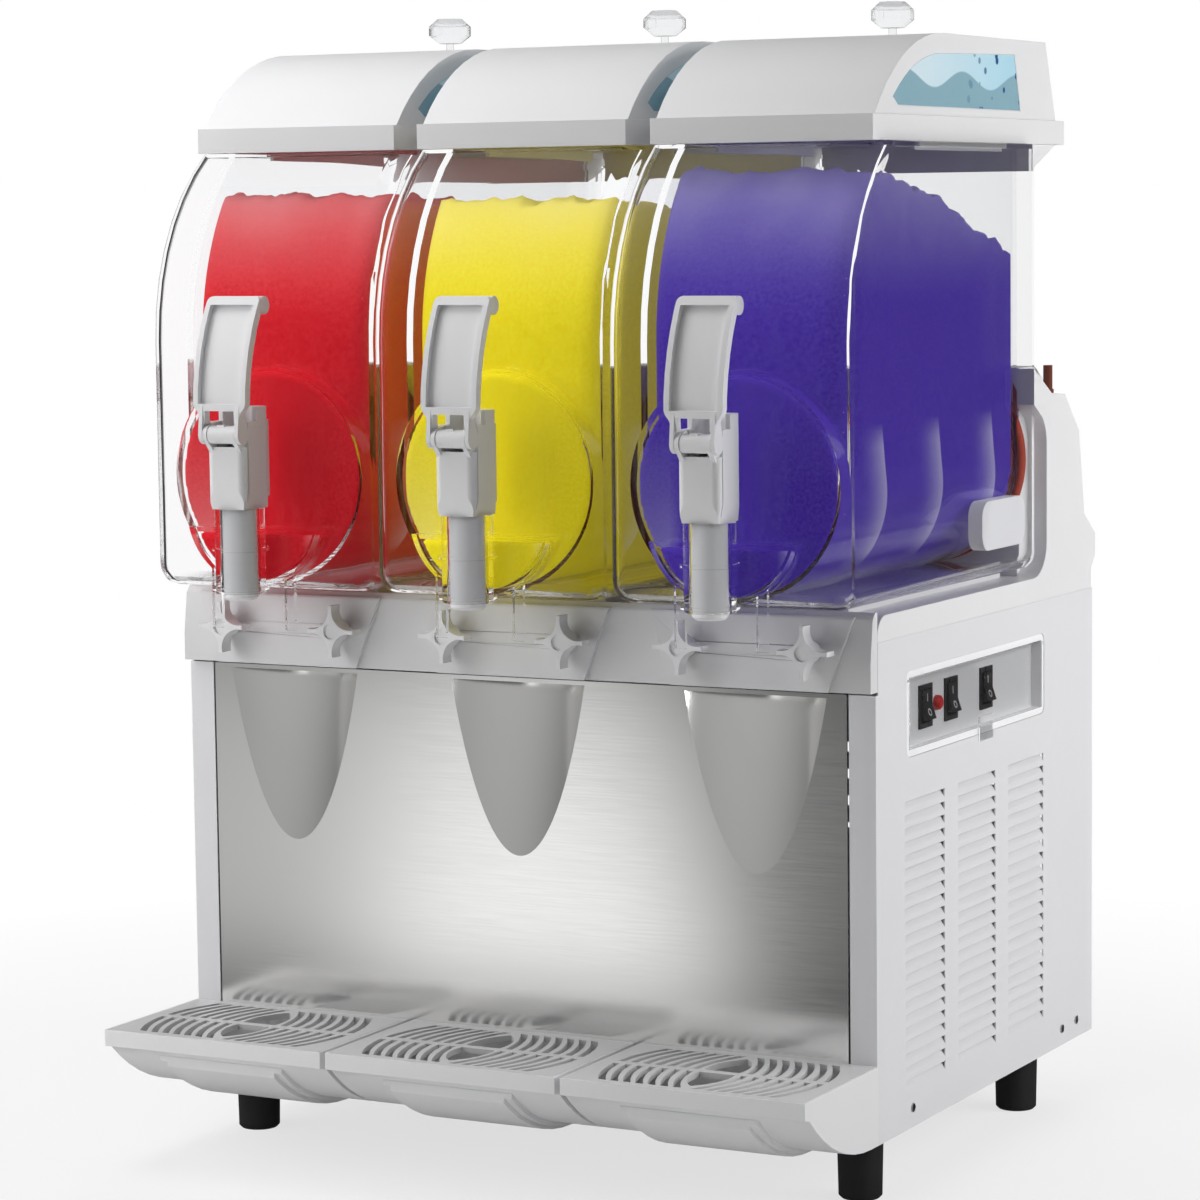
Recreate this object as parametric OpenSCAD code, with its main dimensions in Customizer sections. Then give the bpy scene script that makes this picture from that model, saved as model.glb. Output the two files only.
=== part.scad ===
// Countertop frozen-drink dispenser with three insulated bowls over one refrigerated cabinet.
// Millimetres, +Z up, +Y towards the back; the origin is under the middle of the machine, on the counter.

/* [Cabinet] */
// Depth of the cabinet from its front face to its back panel
cabinet_d = 421; // [400:1:460]
// Height of the side panels, from the floor pan to the top housing
panel_h = 349; // [335:1:400]
// Thickness of the sheet metal
sheet = 1.2; // [0.8:0.1:1.6]
// Width of the front posts at each side of the splash panel
post_w = 20; // [14:1:30]
// Height of a foot
foot_h = 47; // [30:1:70]
// Diameter of a foot at its top
foot_d = 33; // [26:1:40]
// How far the rear lip of the top housing stands behind the cabinet
rear_lip = 7; // [2:1:14]

/* [Louvres] */
// Number of louvres in a column
louvre_rows = 22; // [8:1:24]
// Number of columns on a side panel
louvre_cols = 3; // [1:1:3]
// Length of a louvre
louvre_l = 72; // [40:1:84]
// Distance between two louvres in a column
louvre_pitch = 9.4; // [8:0.1:9.6]
// How far the top edge of a louvre is pressed in
louvre_in = 4; // [2:0.5:6]

/* [Front panel] */
// Height of the splash panel's top edge above the floor pan
splash_h = 313; // [290:1:330]
// Half width of a recess at its top
recess_w = 55; // [40:1:70]
// Height of a recess
recess_h = 126; // [90:1:150]
// Depth of a recess at its top
recess_d = 24; // [14:1:36]
// Depth of the front rail
rail_d = 12; // [10:1:18]
// Height of the front rail
rail_h = 55; // [50:1:58]
// Distance from a bowl's centre line to a star knob
knob_offset = 47.5; // [40:0.5:56]
// Tip radius of a star knob
knob_r = 19; // [15:0.5:20]

/* [Bowls] */
// Outer width of a bowl
bowl_w = 182; // [176:1:200]
// Gap between two bowls
bowl_gap = 6; // [4:1:14]
// Length of a bowl from front to back
bowl_d = 343; // [330:1:348]
// Height of a bowl
bowl_h = 316; // [290:1:350]
// How far a bowl overhangs the cabinet's front
bowl_overhang = 45.5; // [38:0.5:52]
// Wall thickness of the clear bowl
shell = 3.5; // [2.5:0.5:4]
// Distance from the outer side wall to the space for the drink
side_inset = 15; // [12:1:22]
// Distance from the outer front wall to the space for the drink
front_inset = 37; // [30:1:50]
// Radius of the bowl's vertical edges
edge_r = 12; // [6:1:14]
// Radius of the upper front curve
front_r = 173; // [160:1:260]
// Height at which the upper front curve starts
curve_h = 179; // [150:1:200]

/* [Tap] */
// Distance of the outlet tube's axis in front of the bowl
tap_reach = 23.5; // [22:0.5:30]
// Outer radius of the outlet tube
tube_r = 18; // [16:0.5:20]
// Radius of the piston
piston_r = 12.5; // [10:0.5:13]
// Length of the outlet tube
tube_l = 61; // [50:1:80]
// Height of the tap body's column
column_h = 45; // [35:1:60]
// Height of the lever plate above the tap body
lever_h = 81; // [60:1:110]
// Half width of the lever plate
lever_w = 22; // [19:0.5:28]
// Length of the crank between the lever's pivot and the piston
crank_r = 20; // [19:0.5:24]
// Angle that the lever swings through
lever_swing = 50; // [30:1:60]

/* [Lids] */
// Distance from a bowl's side to its lid's side
lid_inset = 6.5; // [4:0.5:12]
// Length of a lid's skirt
lid_d = 362; // [350:1:372]
// Height of a lid's skirt
skirt_h = 18; // [12:1:26]
// Height of the domed part above the skirt
dome_h = 58; // [44:1:70]
// Radius of the dome's front curve
dome_r = 156; // [150:1:240]
// Wall thickness of a lid
lid_wall = 3; // [2:0.5:4]
// Diameter of the clear knob on a lid
lid_knob_d = 34; // [26:1:42]

/* [Drive] */
// Clearance between the cooled drum and the auger's ribbon
drum_gap = 2; // [1:0.5:6]
// Radial thickness of the auger's ribbon
ribbon_w = 19.5; // [14:0.5:20]
// Pitch of the auger
auger_pitch = 100; // [80:1:140]
// Radius of the auger's shaft
shaft_r = 8; // [6:0.5:10]

/* [Drip trays] */
// How far the drip trays stand in front of the cabinet
tray_reach = 122; // [110:1:140]
// Gap between two drip trays
tray_gap = 4; // [2:0.5:6]
// Height of a tray's rim above the floor pan
tray_rise = 56; // [50:1:66]
// Height of the straight band along a tray's front
tray_band = 12; // [8:1:18]
// Wall thickness of a tray
tray_wall = 5; // [4:0.5:7]
// How far the sump hangs below a tray
sump_h = 6; // [3:0.5:8]
// Thickness of a drip grid
grid_t = 4; // [3:0.5:6]
// Number of slots in each quarter of a grid
slot_count = 7; // [3:1:7]
// Width of a slot
slot_w = 5.2; // [3:0.1:6]

/* [Control panel] */
// Length of the control panel's frame
frame_l = 264; // [230:1:270]
// Height of the control panel's frame
frame_h = 61; // [54:1:66]
// Depth of the control plate behind the side panel
frame_depth = 9; // [8.5:0.5:14]

/* [Fits] */
// Running clearance of a shaft in its bore
run_gap = 0.05; // [0.02:0.01:0.1]
// Clearance between moving neighbours
free_gap = 0.3; // [0.2:0.05:0.5]

/* [Hidden] */
$fn = 64;
hull_fn = 32;
eps = 0.01;
bowl_count = 3;
bowls = [1:bowl_count];

// Main stations across, along and up the machine
pitch = bowl_w + bowl_gap;
half_w = pitch + bowl_w / 2;
front_y = (tray_reach - cabinet_d - rear_lip) / 2;
rear_y = front_y + cabinet_d;
pan_z = foot_h;
panel_top = pan_z + panel_h;
splash_top = pan_z + splash_h;
deck_rise = 18;
deck_z = panel_top + deck_rise;
pad_h = 7;
bowl_z = deck_z + pad_h;
bowl_top = bowl_z + bowl_h;
function bowl_x(i) = (i - 2) * pitch;

// Bowl stations
bowl_front = front_y - bowl_overhang;
bowl_rear = bowl_front + bowl_d;
trough_r = bowl_w / 2 - side_inset;
wall_merge = 1;
axis_z = bowl_z + trough_r + 2 * shell - wall_merge;
vessel_front = bowl_front + front_inset;
rear_gap = 13.5;
vessel_rear = bowl_rear - rear_gap;
nose_gap = 15.5;
nose_front = bowl_front + nose_gap;
collar_step = 2;
collar_r = trough_r - collar_step;
curve_z = bowl_z + curve_h;
foot_corner_r = max(16, edge_r + shell);
gasket_t = 8.5;
tower_y = bowl_rear + gasket_t;
tower_d = rear_y - tower_y;
auger_gap = 2.5;
drum_r = trough_r - auger_gap - ribbon_w - drum_gap;

// Tap stations
tap_y = bowl_front - tap_reach;
tube_top = bowl_z + tube_l;
column_top = tube_top + column_h;
case_w = 16;
case_front = tap_y - 17.5;
case_back = tap_y + 17.5;
case_split = tap_y - 11.3;
crank_a = lever_swing / 2;
pivot_y = tap_y - crank_r * (1 + cos(crank_a)) / 2;
pivot_z = column_top + 9;
pivot_r = 4;
pin_y = pivot_y + crank_r * cos(crank_a);
pin_z = pivot_z - crank_r * sin(crank_a);
pin_r = 3;
fork_in = 3.3;
fork_out = 8.5;
ear_in = 10;
ear_out = 13.5;
cheek_in = ear_out + free_gap;
cheek_t = 3;
piston_bottom = bowl_z - 5;
lever_t = 6.5;
lever_front = pivot_y - 5;
lever_arc_r = 154;
lever_z = pivot_z + 17;

// Lid stations
lid_w = bowl_w - 2 * lid_inset;
lid_z = bowl_top + free_gap;
lid_front = bowl_front + 60.5;
lid_rear = lid_front + lid_d;
skirt_top = lid_z + skirt_h;
lid_top = skirt_top + dome_h;
lid_step = 1.5;
lid_knob_y = lid_front + 231;
stem_r = 3;
dome_nose = lid_front + 6.5;
dome_run = sqrt(dome_r * dome_r - pow(dome_r - dome_h, 2));
dome_flat = dome_nose + dome_run;

// Drip tray stations
tray_w = pitch - tray_gap;
tray_front = front_y - tray_reach;
tray_back = front_y - free_gap;
tray_top = pan_z + tray_rise;
tray_floor = pan_z + 0.5;
grid_y = (tray_front + tray_back) / 2;
grid_w = tray_w - tray_wall;
grid_d = tray_back - tray_front - tray_wall;
sump_w = tray_w / 4;

// Control panel stations
frame_y = front_y + 54 + frame_l / 2;
frame_z = panel_top - 55.5;
plate_x = half_w - frame_depth;
bezel_w = 5;
bezel_r = 6;
rocker_ys = [-0.307 * frame_l, -0.129 * frame_l, 0.125 * frame_l];
rocker_x = plate_x - 2;
rocker_a = 10;
rocker_hw = 8;
rocker_hh = 10.6;
lamp_y = -0.228 * frame_l;
cover_t = 2;
cover_x = half_w - 1.8;
hinge_drop = 2.2;
hinge_z = frame_z + frame_h / 2 - bezel_w - hinge_drop;

// Inner machinery stations
fan_inset = 94;
fan_rise = 120;
fan_x = half_w - fan_inset;
fan_z = pan_z + fan_rise;
fan_y = front_y + 0.475 * cabinet_d;
fan_r = 88;
compressor_x = -half_w / 2;
compressor_y = front_y + 0.558 * cabinet_d;
motor_shaft_r = 4;
gear_d = 0.3 * tower_d;
shaft_end = tower_y + 0.27 * tower_d;

// Colours
white = "whitesmoke";
clear = [0.85, 0.9, 0.92, 0.35];
steel = "silver";
grey = "gainsboro";
black = [0.08, 0.08, 0.09];

function numbered(name, count) = [for (i = [1:count]) str(name, "_", i)];

// Points along an arc about c, from angle a0 to a1
function arc(c, r, a0, a1, n) = [
    for (k = [0:n])
        let (a = a0 + (a1 - a0) * k / n)
        [c.x + r * cos(a), c.y + r * sin(a)]
];

// Extrudes a profile drawn in (y, z) across the machine, centred on x = 0
module along_x(w) {
    rotate([90, 0, 90])
        linear_extrude(w, center = true)
            children();
}

// Extrudes a profile drawn in (x, z) from y0 to y1
module along_y(y0, y1) {
    translate([0, y1, 0])
        rotate([90, 0, 0])
            linear_extrude(y1 - y0)
                children();
}

// Extrudes a profile drawn in (y, z) from x0 to x1
module from_x(x0, x1) {
    translate([(x0 + x1) / 2, 0, 0])
        along_x(x1 - x0)
            children();
}

// A round bar along Y from y0 to y1
module rod_y(r, y0, y1, z) {
    translate([0, y0, z])
        rotate([-90, 0, 0])
            cylinder(r = r, h = y1 - y0);
}

// A round bar along X from x0 to x1
module rod_x(r, x0, x1, y, z) {
    translate([x0, y, z])
        rotate([0, 90, 0])
            cylinder(r = r, h = x1 - x0);
}

// The children and their mirror image on the other side of x = 0
module both_sides() {
    children();
    mirror([1, 0, 0])
        children();
}

// A box between two corners
module block(low, high) {
    translate(low)
        cube(high - low);
}

// A rectangle with round corners, centred
module round_rect(w, h, r) {
    square([w - 2 * r, h], center = true);
    square([w, h - 2 * r], center = true);
    for (sx = [-1, 1], sy = [-1, 1])
        translate([sx * (w / 2 - r), sy * (h / 2 - r)])
            circle(r = r);
}

// Feet: four slightly tapered rubber feet under the corners of the floor pan
foot_inset_x = 29;
foot_front = 36;
foot_back = 88;
module feet() {
    color(black)
        for (sx = [-1, 1], y = [front_y + foot_front, rear_y - foot_back])
            translate([sx * (half_w - foot_inset_x), y, 0]) {
                cylinder(d1 = foot_d - 6, d2 = foot_d - 2, h = 2);
                translate([0, 0, 2])
                    cylinder(d1 = foot_d - 2, d2 = foot_d, h = foot_h - 2);
            }
}

// Floor pan: a folded sheet with an upturned edge at the front and back
pan_edge = 22;
module base_pan() {
    color(steel) {
        block([-half_w + sheet, front_y + sheet, pan_z], [half_w - sheet, rear_y - sheet, pan_z + sheet]);
        block([-half_w + post_w + 2, front_y + sheet, pan_z],
              [half_w - post_w - 2, front_y + 2 * sheet, pan_z + pan_edge]);
        block([-half_w + post_w + 2, rear_y - 2 * sheet, pan_z],
              [half_w - post_w - 2, rear_y - sheet, pan_z + pan_edge]);
    }
}

// One louvre: a slot whose tongue is pressed in along its top edge
louvre_gap = 6.4;
louvre_z = pan_z + 29;
louvre_y = front_y + 86;
louvre_step = 97;
module louvre_slots(extra) {
    for (c = [0:louvre_cols - 1], r = [0:louvre_rows - 1])
        translate([0, louvre_y + c * louvre_step - louvre_l / 2, louvre_z + r * louvre_pitch])
            cube([sheet + extra, louvre_l, louvre_gap]);
}

module louvre_tongues() {
    for (c = [0:louvre_cols - 1])
        translate([0, louvre_y + c * louvre_step + louvre_l / 2, 0])
            rotate([90, 0, 0])
                linear_extrude(louvre_l)
                    for (r = [0:louvre_rows - 1])
                        translate([0, louvre_z + r * louvre_pitch])
                            polygon([[0, -eps], [sheet, -eps], [sheet - louvre_in, louvre_gap],
                                     [-louvre_in, louvre_gap]]);
}

// Side panel drawn for the right: sheet with a front post, a rear return and three columns of louvres
return_w = 15;
module side_sheet() {
    difference() {
        union() {
            block([half_w - sheet, front_y, pan_z], [half_w, rear_y, panel_top]);
            block([half_w - post_w, front_y, pan_z], [half_w, front_y + sheet, splash_top]);
            block([half_w - return_w, rear_y - sheet, pan_z], [half_w, rear_y, panel_top]);
        }
        translate([half_w - sheet - 1, 0, 0])
            louvre_slots(2);
        block([half_w - sheet - 1, front_y - 1, splash_top + eps],
              [half_w + 1, housing_front + free_gap, panel_top + 1]);
    }
    translate([half_w - sheet, 0, 0])
        louvre_tongues();
}

module side_panel_right() {
    color(white)
        difference() {
            side_sheet();
            translate([half_w - sheet - 1, frame_y, frame_z])
                rotate([90, 0, 90])
                    linear_extrude(sheet + 2)
                        round_rect(frame_l, frame_h, bezel_r);
        }
}

module side_panel_left() {
    color(white)
        mirror([1, 0, 0])
            side_sheet();
}

// Back panel: plain sheet with rows of ventilation slots
vent_rows = 8;
vent_cols = 4;
vent_l = 84;
vent_h = 8;
module back_panel() {
    vent_step_x = 2 * (half_w - return_w) / vent_cols;
    vent_step_z = panel_h / 2 / vent_rows;
    color(white)
        difference() {
            block([-half_w + return_w + 0.5, rear_y - sheet, pan_z],
                  [half_w - return_w - 0.5, rear_y, panel_top]);
            for (c = [0:vent_cols - 1], r = [0:vent_rows - 1])
                translate([(c - (vent_cols - 1) / 2) * vent_step_x, rear_y + 1, pan_z + 60 + r * vent_step_z])
                    rotate([90, 0, 0])
                        linear_extrude(sheet + 2)
                            round_rect(vent_l, vent_h, vent_h / 2 - eps);
        }
}

// Splash panel: steel sheet with three scooped recesses, deep at the top and running out at the tip
splash_edge = 1.5;
recess_top = splash_top - 3;
recess_tilt = atan(recess_d / recess_h);
recess_r = (recess_w * recess_w + recess_d * recess_d) / (2 * recess_d);
module recess(i, grow) {
    intersection() {
        translate([bowl_x(i), front_y, recess_top - recess_h])
            rotate([-recess_tilt, 0, 0])
                translate([0, -recess_r, -recess_h])
                    cylinder(r = recess_r + grow, h = 3 * recess_h, $fn = 128);
        block([bowl_x(i) - 2 * recess_w, front_y - (grow > 0 ? 0 : 1), recess_top - 1.5 * recess_h],
              [bowl_x(i) + 2 * recess_w, front_y + 2 * recess_d, recess_top + grow]);
    }
}

module splash_panel() {
    color(steel)
        difference() {
            union() {
                block([-half_w + post_w + splash_edge, front_y, pan_z + sheet],
                      [half_w - post_w - splash_edge, front_y + sheet, splash_top]);
                for (i = bowls)
                    recess(i, sheet);
            }
            for (i = bowls)
                recess(i, 0);
        }
}

// Front rail: hollow moulding under the bowls, with a raised tapering pad at each bowl
housing_front = front_y + 4;
rail_wall = 3;
rail_top = splash_top + 2 + rail_h;
rail_crease = 20;
pad_rise = 2.5;
rail_bolt_r = 4;
knob_z = splash_top + 30;
function rail_profile(grow) = [
    [housing_front, splash_top + 2 - grow],
    [housing_front - rail_d - grow, splash_top + 2 - grow],
    [housing_front - rail_d - grow, splash_top + 2 + rail_crease],
    [housing_front - rail_d + 4 - grow, rail_top - 5],
    [housing_front - rail_d + 8 - grow, rail_top + min(grow, 0)],
    [housing_front, rail_top + min(grow, 0)]
];

module rail_pad(i) {
    intersection() {
        along_x(2 * half_w)
            polygon(rail_profile(pad_rise));
        translate([bowl_x(i), 0, 0])
            along_y(housing_front - rail_d - 10, housing_front)
                polygon([[-recess_w - 5, splash_top + 2], [recess_w + 5, splash_top + 2],
                         [recess_w + 12, splash_top + 2 + rail_crease],
                         [recess_w + 23, rail_top - 3], [-recess_w - 23, rail_top - 3],
                         [-recess_w - 12, splash_top + 2 + rail_crease]]);
    }
}

module front_rail() {
    color(grey)
        difference() {
            union() {
                along_x(2 * half_w)
                    polygon(rail_profile(0));
                for (i = bowls)
                    rail_pad(i);
            }
            along_x(2 * (half_w - rail_wall))
                polygon([for (p = rail_profile(-rail_wall)) p.x == housing_front ? [p.x + 1, p.y] : p]);
            for (i = bowls, s = [-1, 1])
                translate([bowl_x(i) + s * knob_offset, 0, 0])
                    rod_y(rail_bolt_r + run_gap, housing_front - 2 * rail_d, housing_front + 1, knob_z);
        }
}

// Star knob: four points with hollow flanks, a dished face and a bolt through the rail
knob_t = 12;
star_y = housing_front - rail_d - pad_rise - 3.5;
module star_knob(n) {
    i = ceil(n / 2);
    side = n % 2 == 1 ? -1 : 1;
    flank_r = knob_r * 0.75;
    translate([bowl_x(i) + side * knob_offset, star_y, knob_z])
        color(white) {
            difference() {
                along_y(-knob_t, 0)
                    difference() {
                        circle(r = knob_r);
                        for (a = [45:90:315])
                            rotate(a)
                                translate([knob_r * 1.16, 0])
                                    circle(r = flank_r);
                    }
                rod_y(knob_r * 0.3, -knob_t - 1, 1.5 - knob_t, 0);
            }
            rod_y(knob_r * 0.42, 0, 3, 0);
            rod_y(rail_bolt_r, 0, rail_d + 6, 0);
        }
}

// Top housing: deck under the bowls and the drive tower behind them, with a wing at each end
wing_w = 17;
tower_h = 157;
housing_wall = 3;
wing_r = 26;
plug_rise = 137;
wing_front = bowl_rear + free_gap;
function housing_back() = [
    [rear_y - 0.243 * tower_d, deck_z + 105],
    [rear_y - 0.148 * tower_d, deck_z + 41],
    [rear_y + rear_lip, deck_z + 24],
    [rear_y + rear_lip, deck_z + 7],
    [rear_y - 2, deck_z - 3],
    [rear_y - 2, panel_top]
];
function tower_profile() = concat(
    [[housing_front, panel_top], [housing_front, deck_z], [tower_y, deck_z], [tower_y, deck_z + tower_h],
     [tower_y + 0.32 * tower_d, deck_z + tower_h], [tower_y + 0.54 * tower_d, deck_z + tower_h - 15]],
    housing_back()
);
function wing_profile() = concat(
    [[housing_front, panel_top]],
    arc([housing_front + 14, deck_z - 14], 14, 180, 90, 5),
    arc([wing_front, deck_z + wing_r], wing_r, 270, 360, 6),
    arc([wing_front, deck_z + 100], wing_r, 0, 50, 5),
    [[wing_front, deck_z + 130], [wing_front, deck_z + tower_h],
     [tower_y + 0.25 * tower_d, deck_z + plug_rise], [tower_y + 0.49 * tower_d, deck_z + plug_rise - 2]],
    housing_back()
);
function tower_hollow() = [
    [housing_front + housing_wall, panel_top - 1],
    [housing_front + housing_wall, deck_z - housing_wall],
    [tower_y + housing_wall, deck_z - housing_wall],
    [tower_y + housing_wall, deck_z + tower_h - housing_wall],
    [tower_y + 0.31 * tower_d, deck_z + tower_h - housing_wall],
    [tower_y + 0.52 * tower_d, deck_z + tower_h - 17],
    [rear_y - 0.27 * tower_d, deck_z + 104],
    [rear_y - 0.174 * tower_d, deck_z + 40],
    [rear_y - 8, deck_z + 26],
    [rear_y - 8, panel_top - 1]
];

module top_housing() {
    core = half_w - wing_w;
    rib_x = trough_r - 16;
    color(white) {
        difference() {
            union() {
                along_x(2 * core)
                    polygon(tower_profile());
                both_sides()
                    from_x(core, half_w)
                        polygon(wing_profile());
            }
            along_x(2 * (core - housing_wall))
                polygon(tower_hollow());
            for (i = bowls)
                translate([bowl_x(i), 0, 0])
                    rod_y(shaft_r + 4, tower_y - 1, tower_y + housing_wall + 1, axis_z);
        }
        for (i = bowls, s = [-1, 1])
            block([bowl_x(i) + s * rib_x - 5, housing_front + 10, deck_z - eps],
                  [bowl_x(i) + s * rib_x + 5, tower_y - 12, bowl_z - free_gap]);
    }
}

// Brown rubber plug on the right wing of the housing
module housing_plug() {
    translate([half_w - wing_w / 2, tower_y + 0.365 * tower_d, deck_z + plug_rise - 0.6])
        color("sienna") {
            cylinder(d = 9, h = 3);
            cylinder(d = 7, h = 21);
        }
}

// Cooled drum: steel shell with a rounded end and a base flange on the tower; the shaft runs in its nose
drum_flange_r = drum_r + 14;
drum_flange_t = 7;
drum_end = 22;
drum_wall = 3;
bearing_r = shaft_r + 6;
bearing_l = 24;
module evaporator_drums() {
    drum_l = tower_y - nose_front - shell - drum_end;
    color(steel)
        for (i = bowls)
            translate([bowl_x(i), tower_y, axis_z])
                rotate([90, 0, 0])
                    rotate_extrude()
                        polygon(concat(
                            [[drum_r - drum_wall, 0], [drum_flange_r, 0], [drum_flange_r, drum_flange_t],
                             [drum_r, drum_flange_t + 4]],
                            arc([drum_r - 8, drum_l - 8], 8, 0, 90, 4),
                            [[shaft_r + run_gap, drum_l], [shaft_r + run_gap, drum_l - bearing_l],
                             [bearing_r, drum_l - bearing_l], [bearing_r, drum_l - drum_wall]],
                            arc([drum_r - 8, drum_l - 8], 8 - drum_wall, 90, 0, 3)
                        ));
}

// Ring gasket that the back of each bowl presses on
module bowl_gaskets() {
    color("firebrick")
        for (i = bowls)
            translate([bowl_x(i), tower_y, axis_z])
                rotate([90, 0, 0])
                    rotate_extrude()
                        polygon(concat(
                            [[drum_flange_r + 1, 0], [collar_r + shell + 2, 0]],
                            arc([collar_r + shell - 2, gasket_t - free_gap - 4], 4, 0, 90, 4),
                            [[collar_r - 3, gasket_t - free_gap], [drum_flange_r + 1, gasket_t / 2]]
                        ));
}

// Auger: helical ribbon round the drum, carried by a front spider on the drive shaft
spider_t = 9;
ribbon_arc = 22;
module auger(i) {
    ribbon_r = trough_r - auger_gap;
    start = nose_front + shell + 5;
    length = vessel_rear - 12 - start;
    translate([bowl_x(i), start, axis_z])
        rotate([-90, 0, 0])
            color(white) {
                linear_extrude(length, twist = -360 * length / auger_pitch, slices = round(length / 4.8),
                               $fn = 8)
                    polygon(concat(arc([0, 0], ribbon_r, 0, ribbon_arc, 3),
                                   arc([0, 0], ribbon_r - ribbon_w, ribbon_arc, 0, 2)));
                cylinder(r = 3 * shaft_r, h = spider_t);
                rotate(ribbon_arc / 2)
                    translate([0, -6, 0])
                        cube([ribbon_r - 2, 12, spider_t - 2]);
                rotate(ribbon_arc / 2 + 180)
                    translate([0, -6, 0])
                        cube([ribbon_r - ribbon_w, 12, spider_t - 2]);
                cylinder(r = shaft_r, h = shaft_end - start);
            }
}

// Side outline of a bowl, set in from the outside by inset
function jacket_profile(inset, rear, top) = concat(
    [[rear, bowl_z + inset]],
    arc([bowl_front + foot_corner_r, bowl_z + foot_corner_r], foot_corner_r - inset, 270, 180, 4),
    arc([bowl_front + front_r, curve_z], front_r - inset, 180,
        180 - asin((top - curve_z) / (front_r - inset)), 7),
    [[rear, top]]
);

// The bowl's outer form: the side outline carried across with its edges rounded
module jacket_form(inset, rear, top) {
    r = edge_r - inset * 0.7;
    hull()
        for (s = [-1, 1], a = [0, 30, 60, 90])
            translate([s * (bowl_w / 2 - inset - r + r * sin(a) - eps), 0, 0])
                along_x(2 * eps)
                    polygon(jacket_profile(inset + r * (1 - cos(a)), rear, top));
}

// Side outline of the inner vessel above the trough, grown by a wall thickness
function vessel_profile(grow, top) = concat(
    [[vessel_rear + grow, axis_z], [vessel_front - grow, axis_z]],
    arc([vessel_front + front_r, curve_z], front_r + grow, 180,
        180 - asin((top - curve_z) / (front_r + grow)), 7),
    [[vessel_rear + grow, top]]
);

// The inner vessel: round trough with a nose at the front, straight walls above, a collar at the back
module vessel_form(grow, top) {
    rod_y(trough_r + grow, nose_front + shell - grow, vessel_rear + grow, axis_z);
    along_x(2 * (trough_r + grow))
        polygon(vessel_profile(grow, top));
}

// Outlet chute: the foot of a disc standing out of the nose, up to the outlet tube
chute_r = trough_r - 20;
chute_drop = 37;
chute_front = bowl_front - 8;
module chute(grow, front) {
    along_y(front, nose_front + 2 * shell)
        intersection() {
            translate([0, bowl_z + 3 + chute_r])
                circle(r = chute_r + grow);
            translate([-chute_r, bowl_z])
                square([2 * chute_r, axis_z - chute_drop + grow - bowl_z]);
        }
}

// Clear outlet tube with two stiffening rings
ring_h = 2.5;
module outlet_tube() {
    translate([0, tap_y, bowl_z]) {
        cylinder(r = tube_r, h = tube_l);
        for (z = [2, tube_l / 2])
            translate([0, 0, z])
                cylinder(r = tube_r + 2.5, h = ring_h);
    }
}

// Bowl: clear double-walled vessel, its air gap open at the back, with the chute and outlet tube
tab_x = 31;
tab_w = 8;
tab_h = 28;
module bowl(i) {
    passage_r = 5.5;
    passage_rise = 11;
    translate([bowl_x(i), 0, 0])
        color(clear)
            difference() {
                union() {
                    difference() {
                        jacket_form(0, bowl_rear, bowl_top);
                        jacket_form(shell, bowl_rear + 1, bowl_top - shell);
                    }
                    vessel_form(shell, bowl_top - eps);
                    rod_y(collar_r + shell, vessel_rear, bowl_rear, axis_z);
                    chute(0, chute_front);
                    outlet_tube();
                    both_sides()
                        block([tab_x - tab_w / 2, chute_front, bowl_z - tab_h],
                              [tab_x + tab_w / 2, chute_front + shell, bowl_z + chute_r / 3]);
                }
                vessel_form(0, bowl_top + 1);
                chute(-shell, chute_front + shell);
                rod_y(collar_r, vessel_rear - 1, bowl_rear + 1, axis_z);
                translate([0, tap_y, bowl_z - 1])
                    cylinder(r = piston_r + run_gap, h = tube_l + 2);
                rod_y(passage_r, tap_y, chute_front + 2 * shell, bowl_z + passage_rise);
            }
}

// White catch in the air gap at the bowl's lower rear corner
catch_l = 84;
catch_h = 36;
module bowl_catch(i) {
    inner_wall = bowl_w / 2 - shell;
    translate([bowl_x(i), vessel_rear - catch_l / 2 - 1, axis_z - 43])
        color(white)
            from_x(inner_wall - 11, inner_wall)
                round_rect(catch_l, catch_h, 12);
}

// Side outline of the tap body's case: a low front part, a split line, and a stepped rear part
case_step = 10;
case_h = column_h + 18;
function case_front_profile() = [
    [case_front + 2.6, tube_top],
    [case_front, tube_top + 14],
    [case_front, column_top],
    [tap_y, column_top],
    [tap_y, tube_top]
];
function case_rear_profile() = [
    [case_split, tube_top],
    [case_split, tube_top + case_h],
    [tap_y, tube_top + case_h],
    [tap_y, tube_top + case_h + case_step],
    [case_back, tube_top + case_h + case_step],
    [case_back, tube_top]
];

// Front outline of the case, narrowed at its foot
module case_outline(w) {
    polygon([[-w + 2.6, tube_top], [w - 2.6, tube_top], [w, tube_top + 14],
             [w, tube_top + case_h + case_step], [-w, tube_top + case_h + case_step], [-w, tube_top + 14]]);
}

// One ear between the case and the lever's pivot
ear_r = 7;
module tap_ear() {
    polygon([[case_split + 1, tube_top + case_h], [case_split + 1, column_top - 4],
             [case_front + 1, column_top - 4], [pivot_y - ear_r * 0.9, pivot_z - ear_r * 0.4],
             [pivot_y, pivot_z + ear_r]]);
    translate([pivot_y, pivot_z])
        circle(r = ear_r);
}

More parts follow.
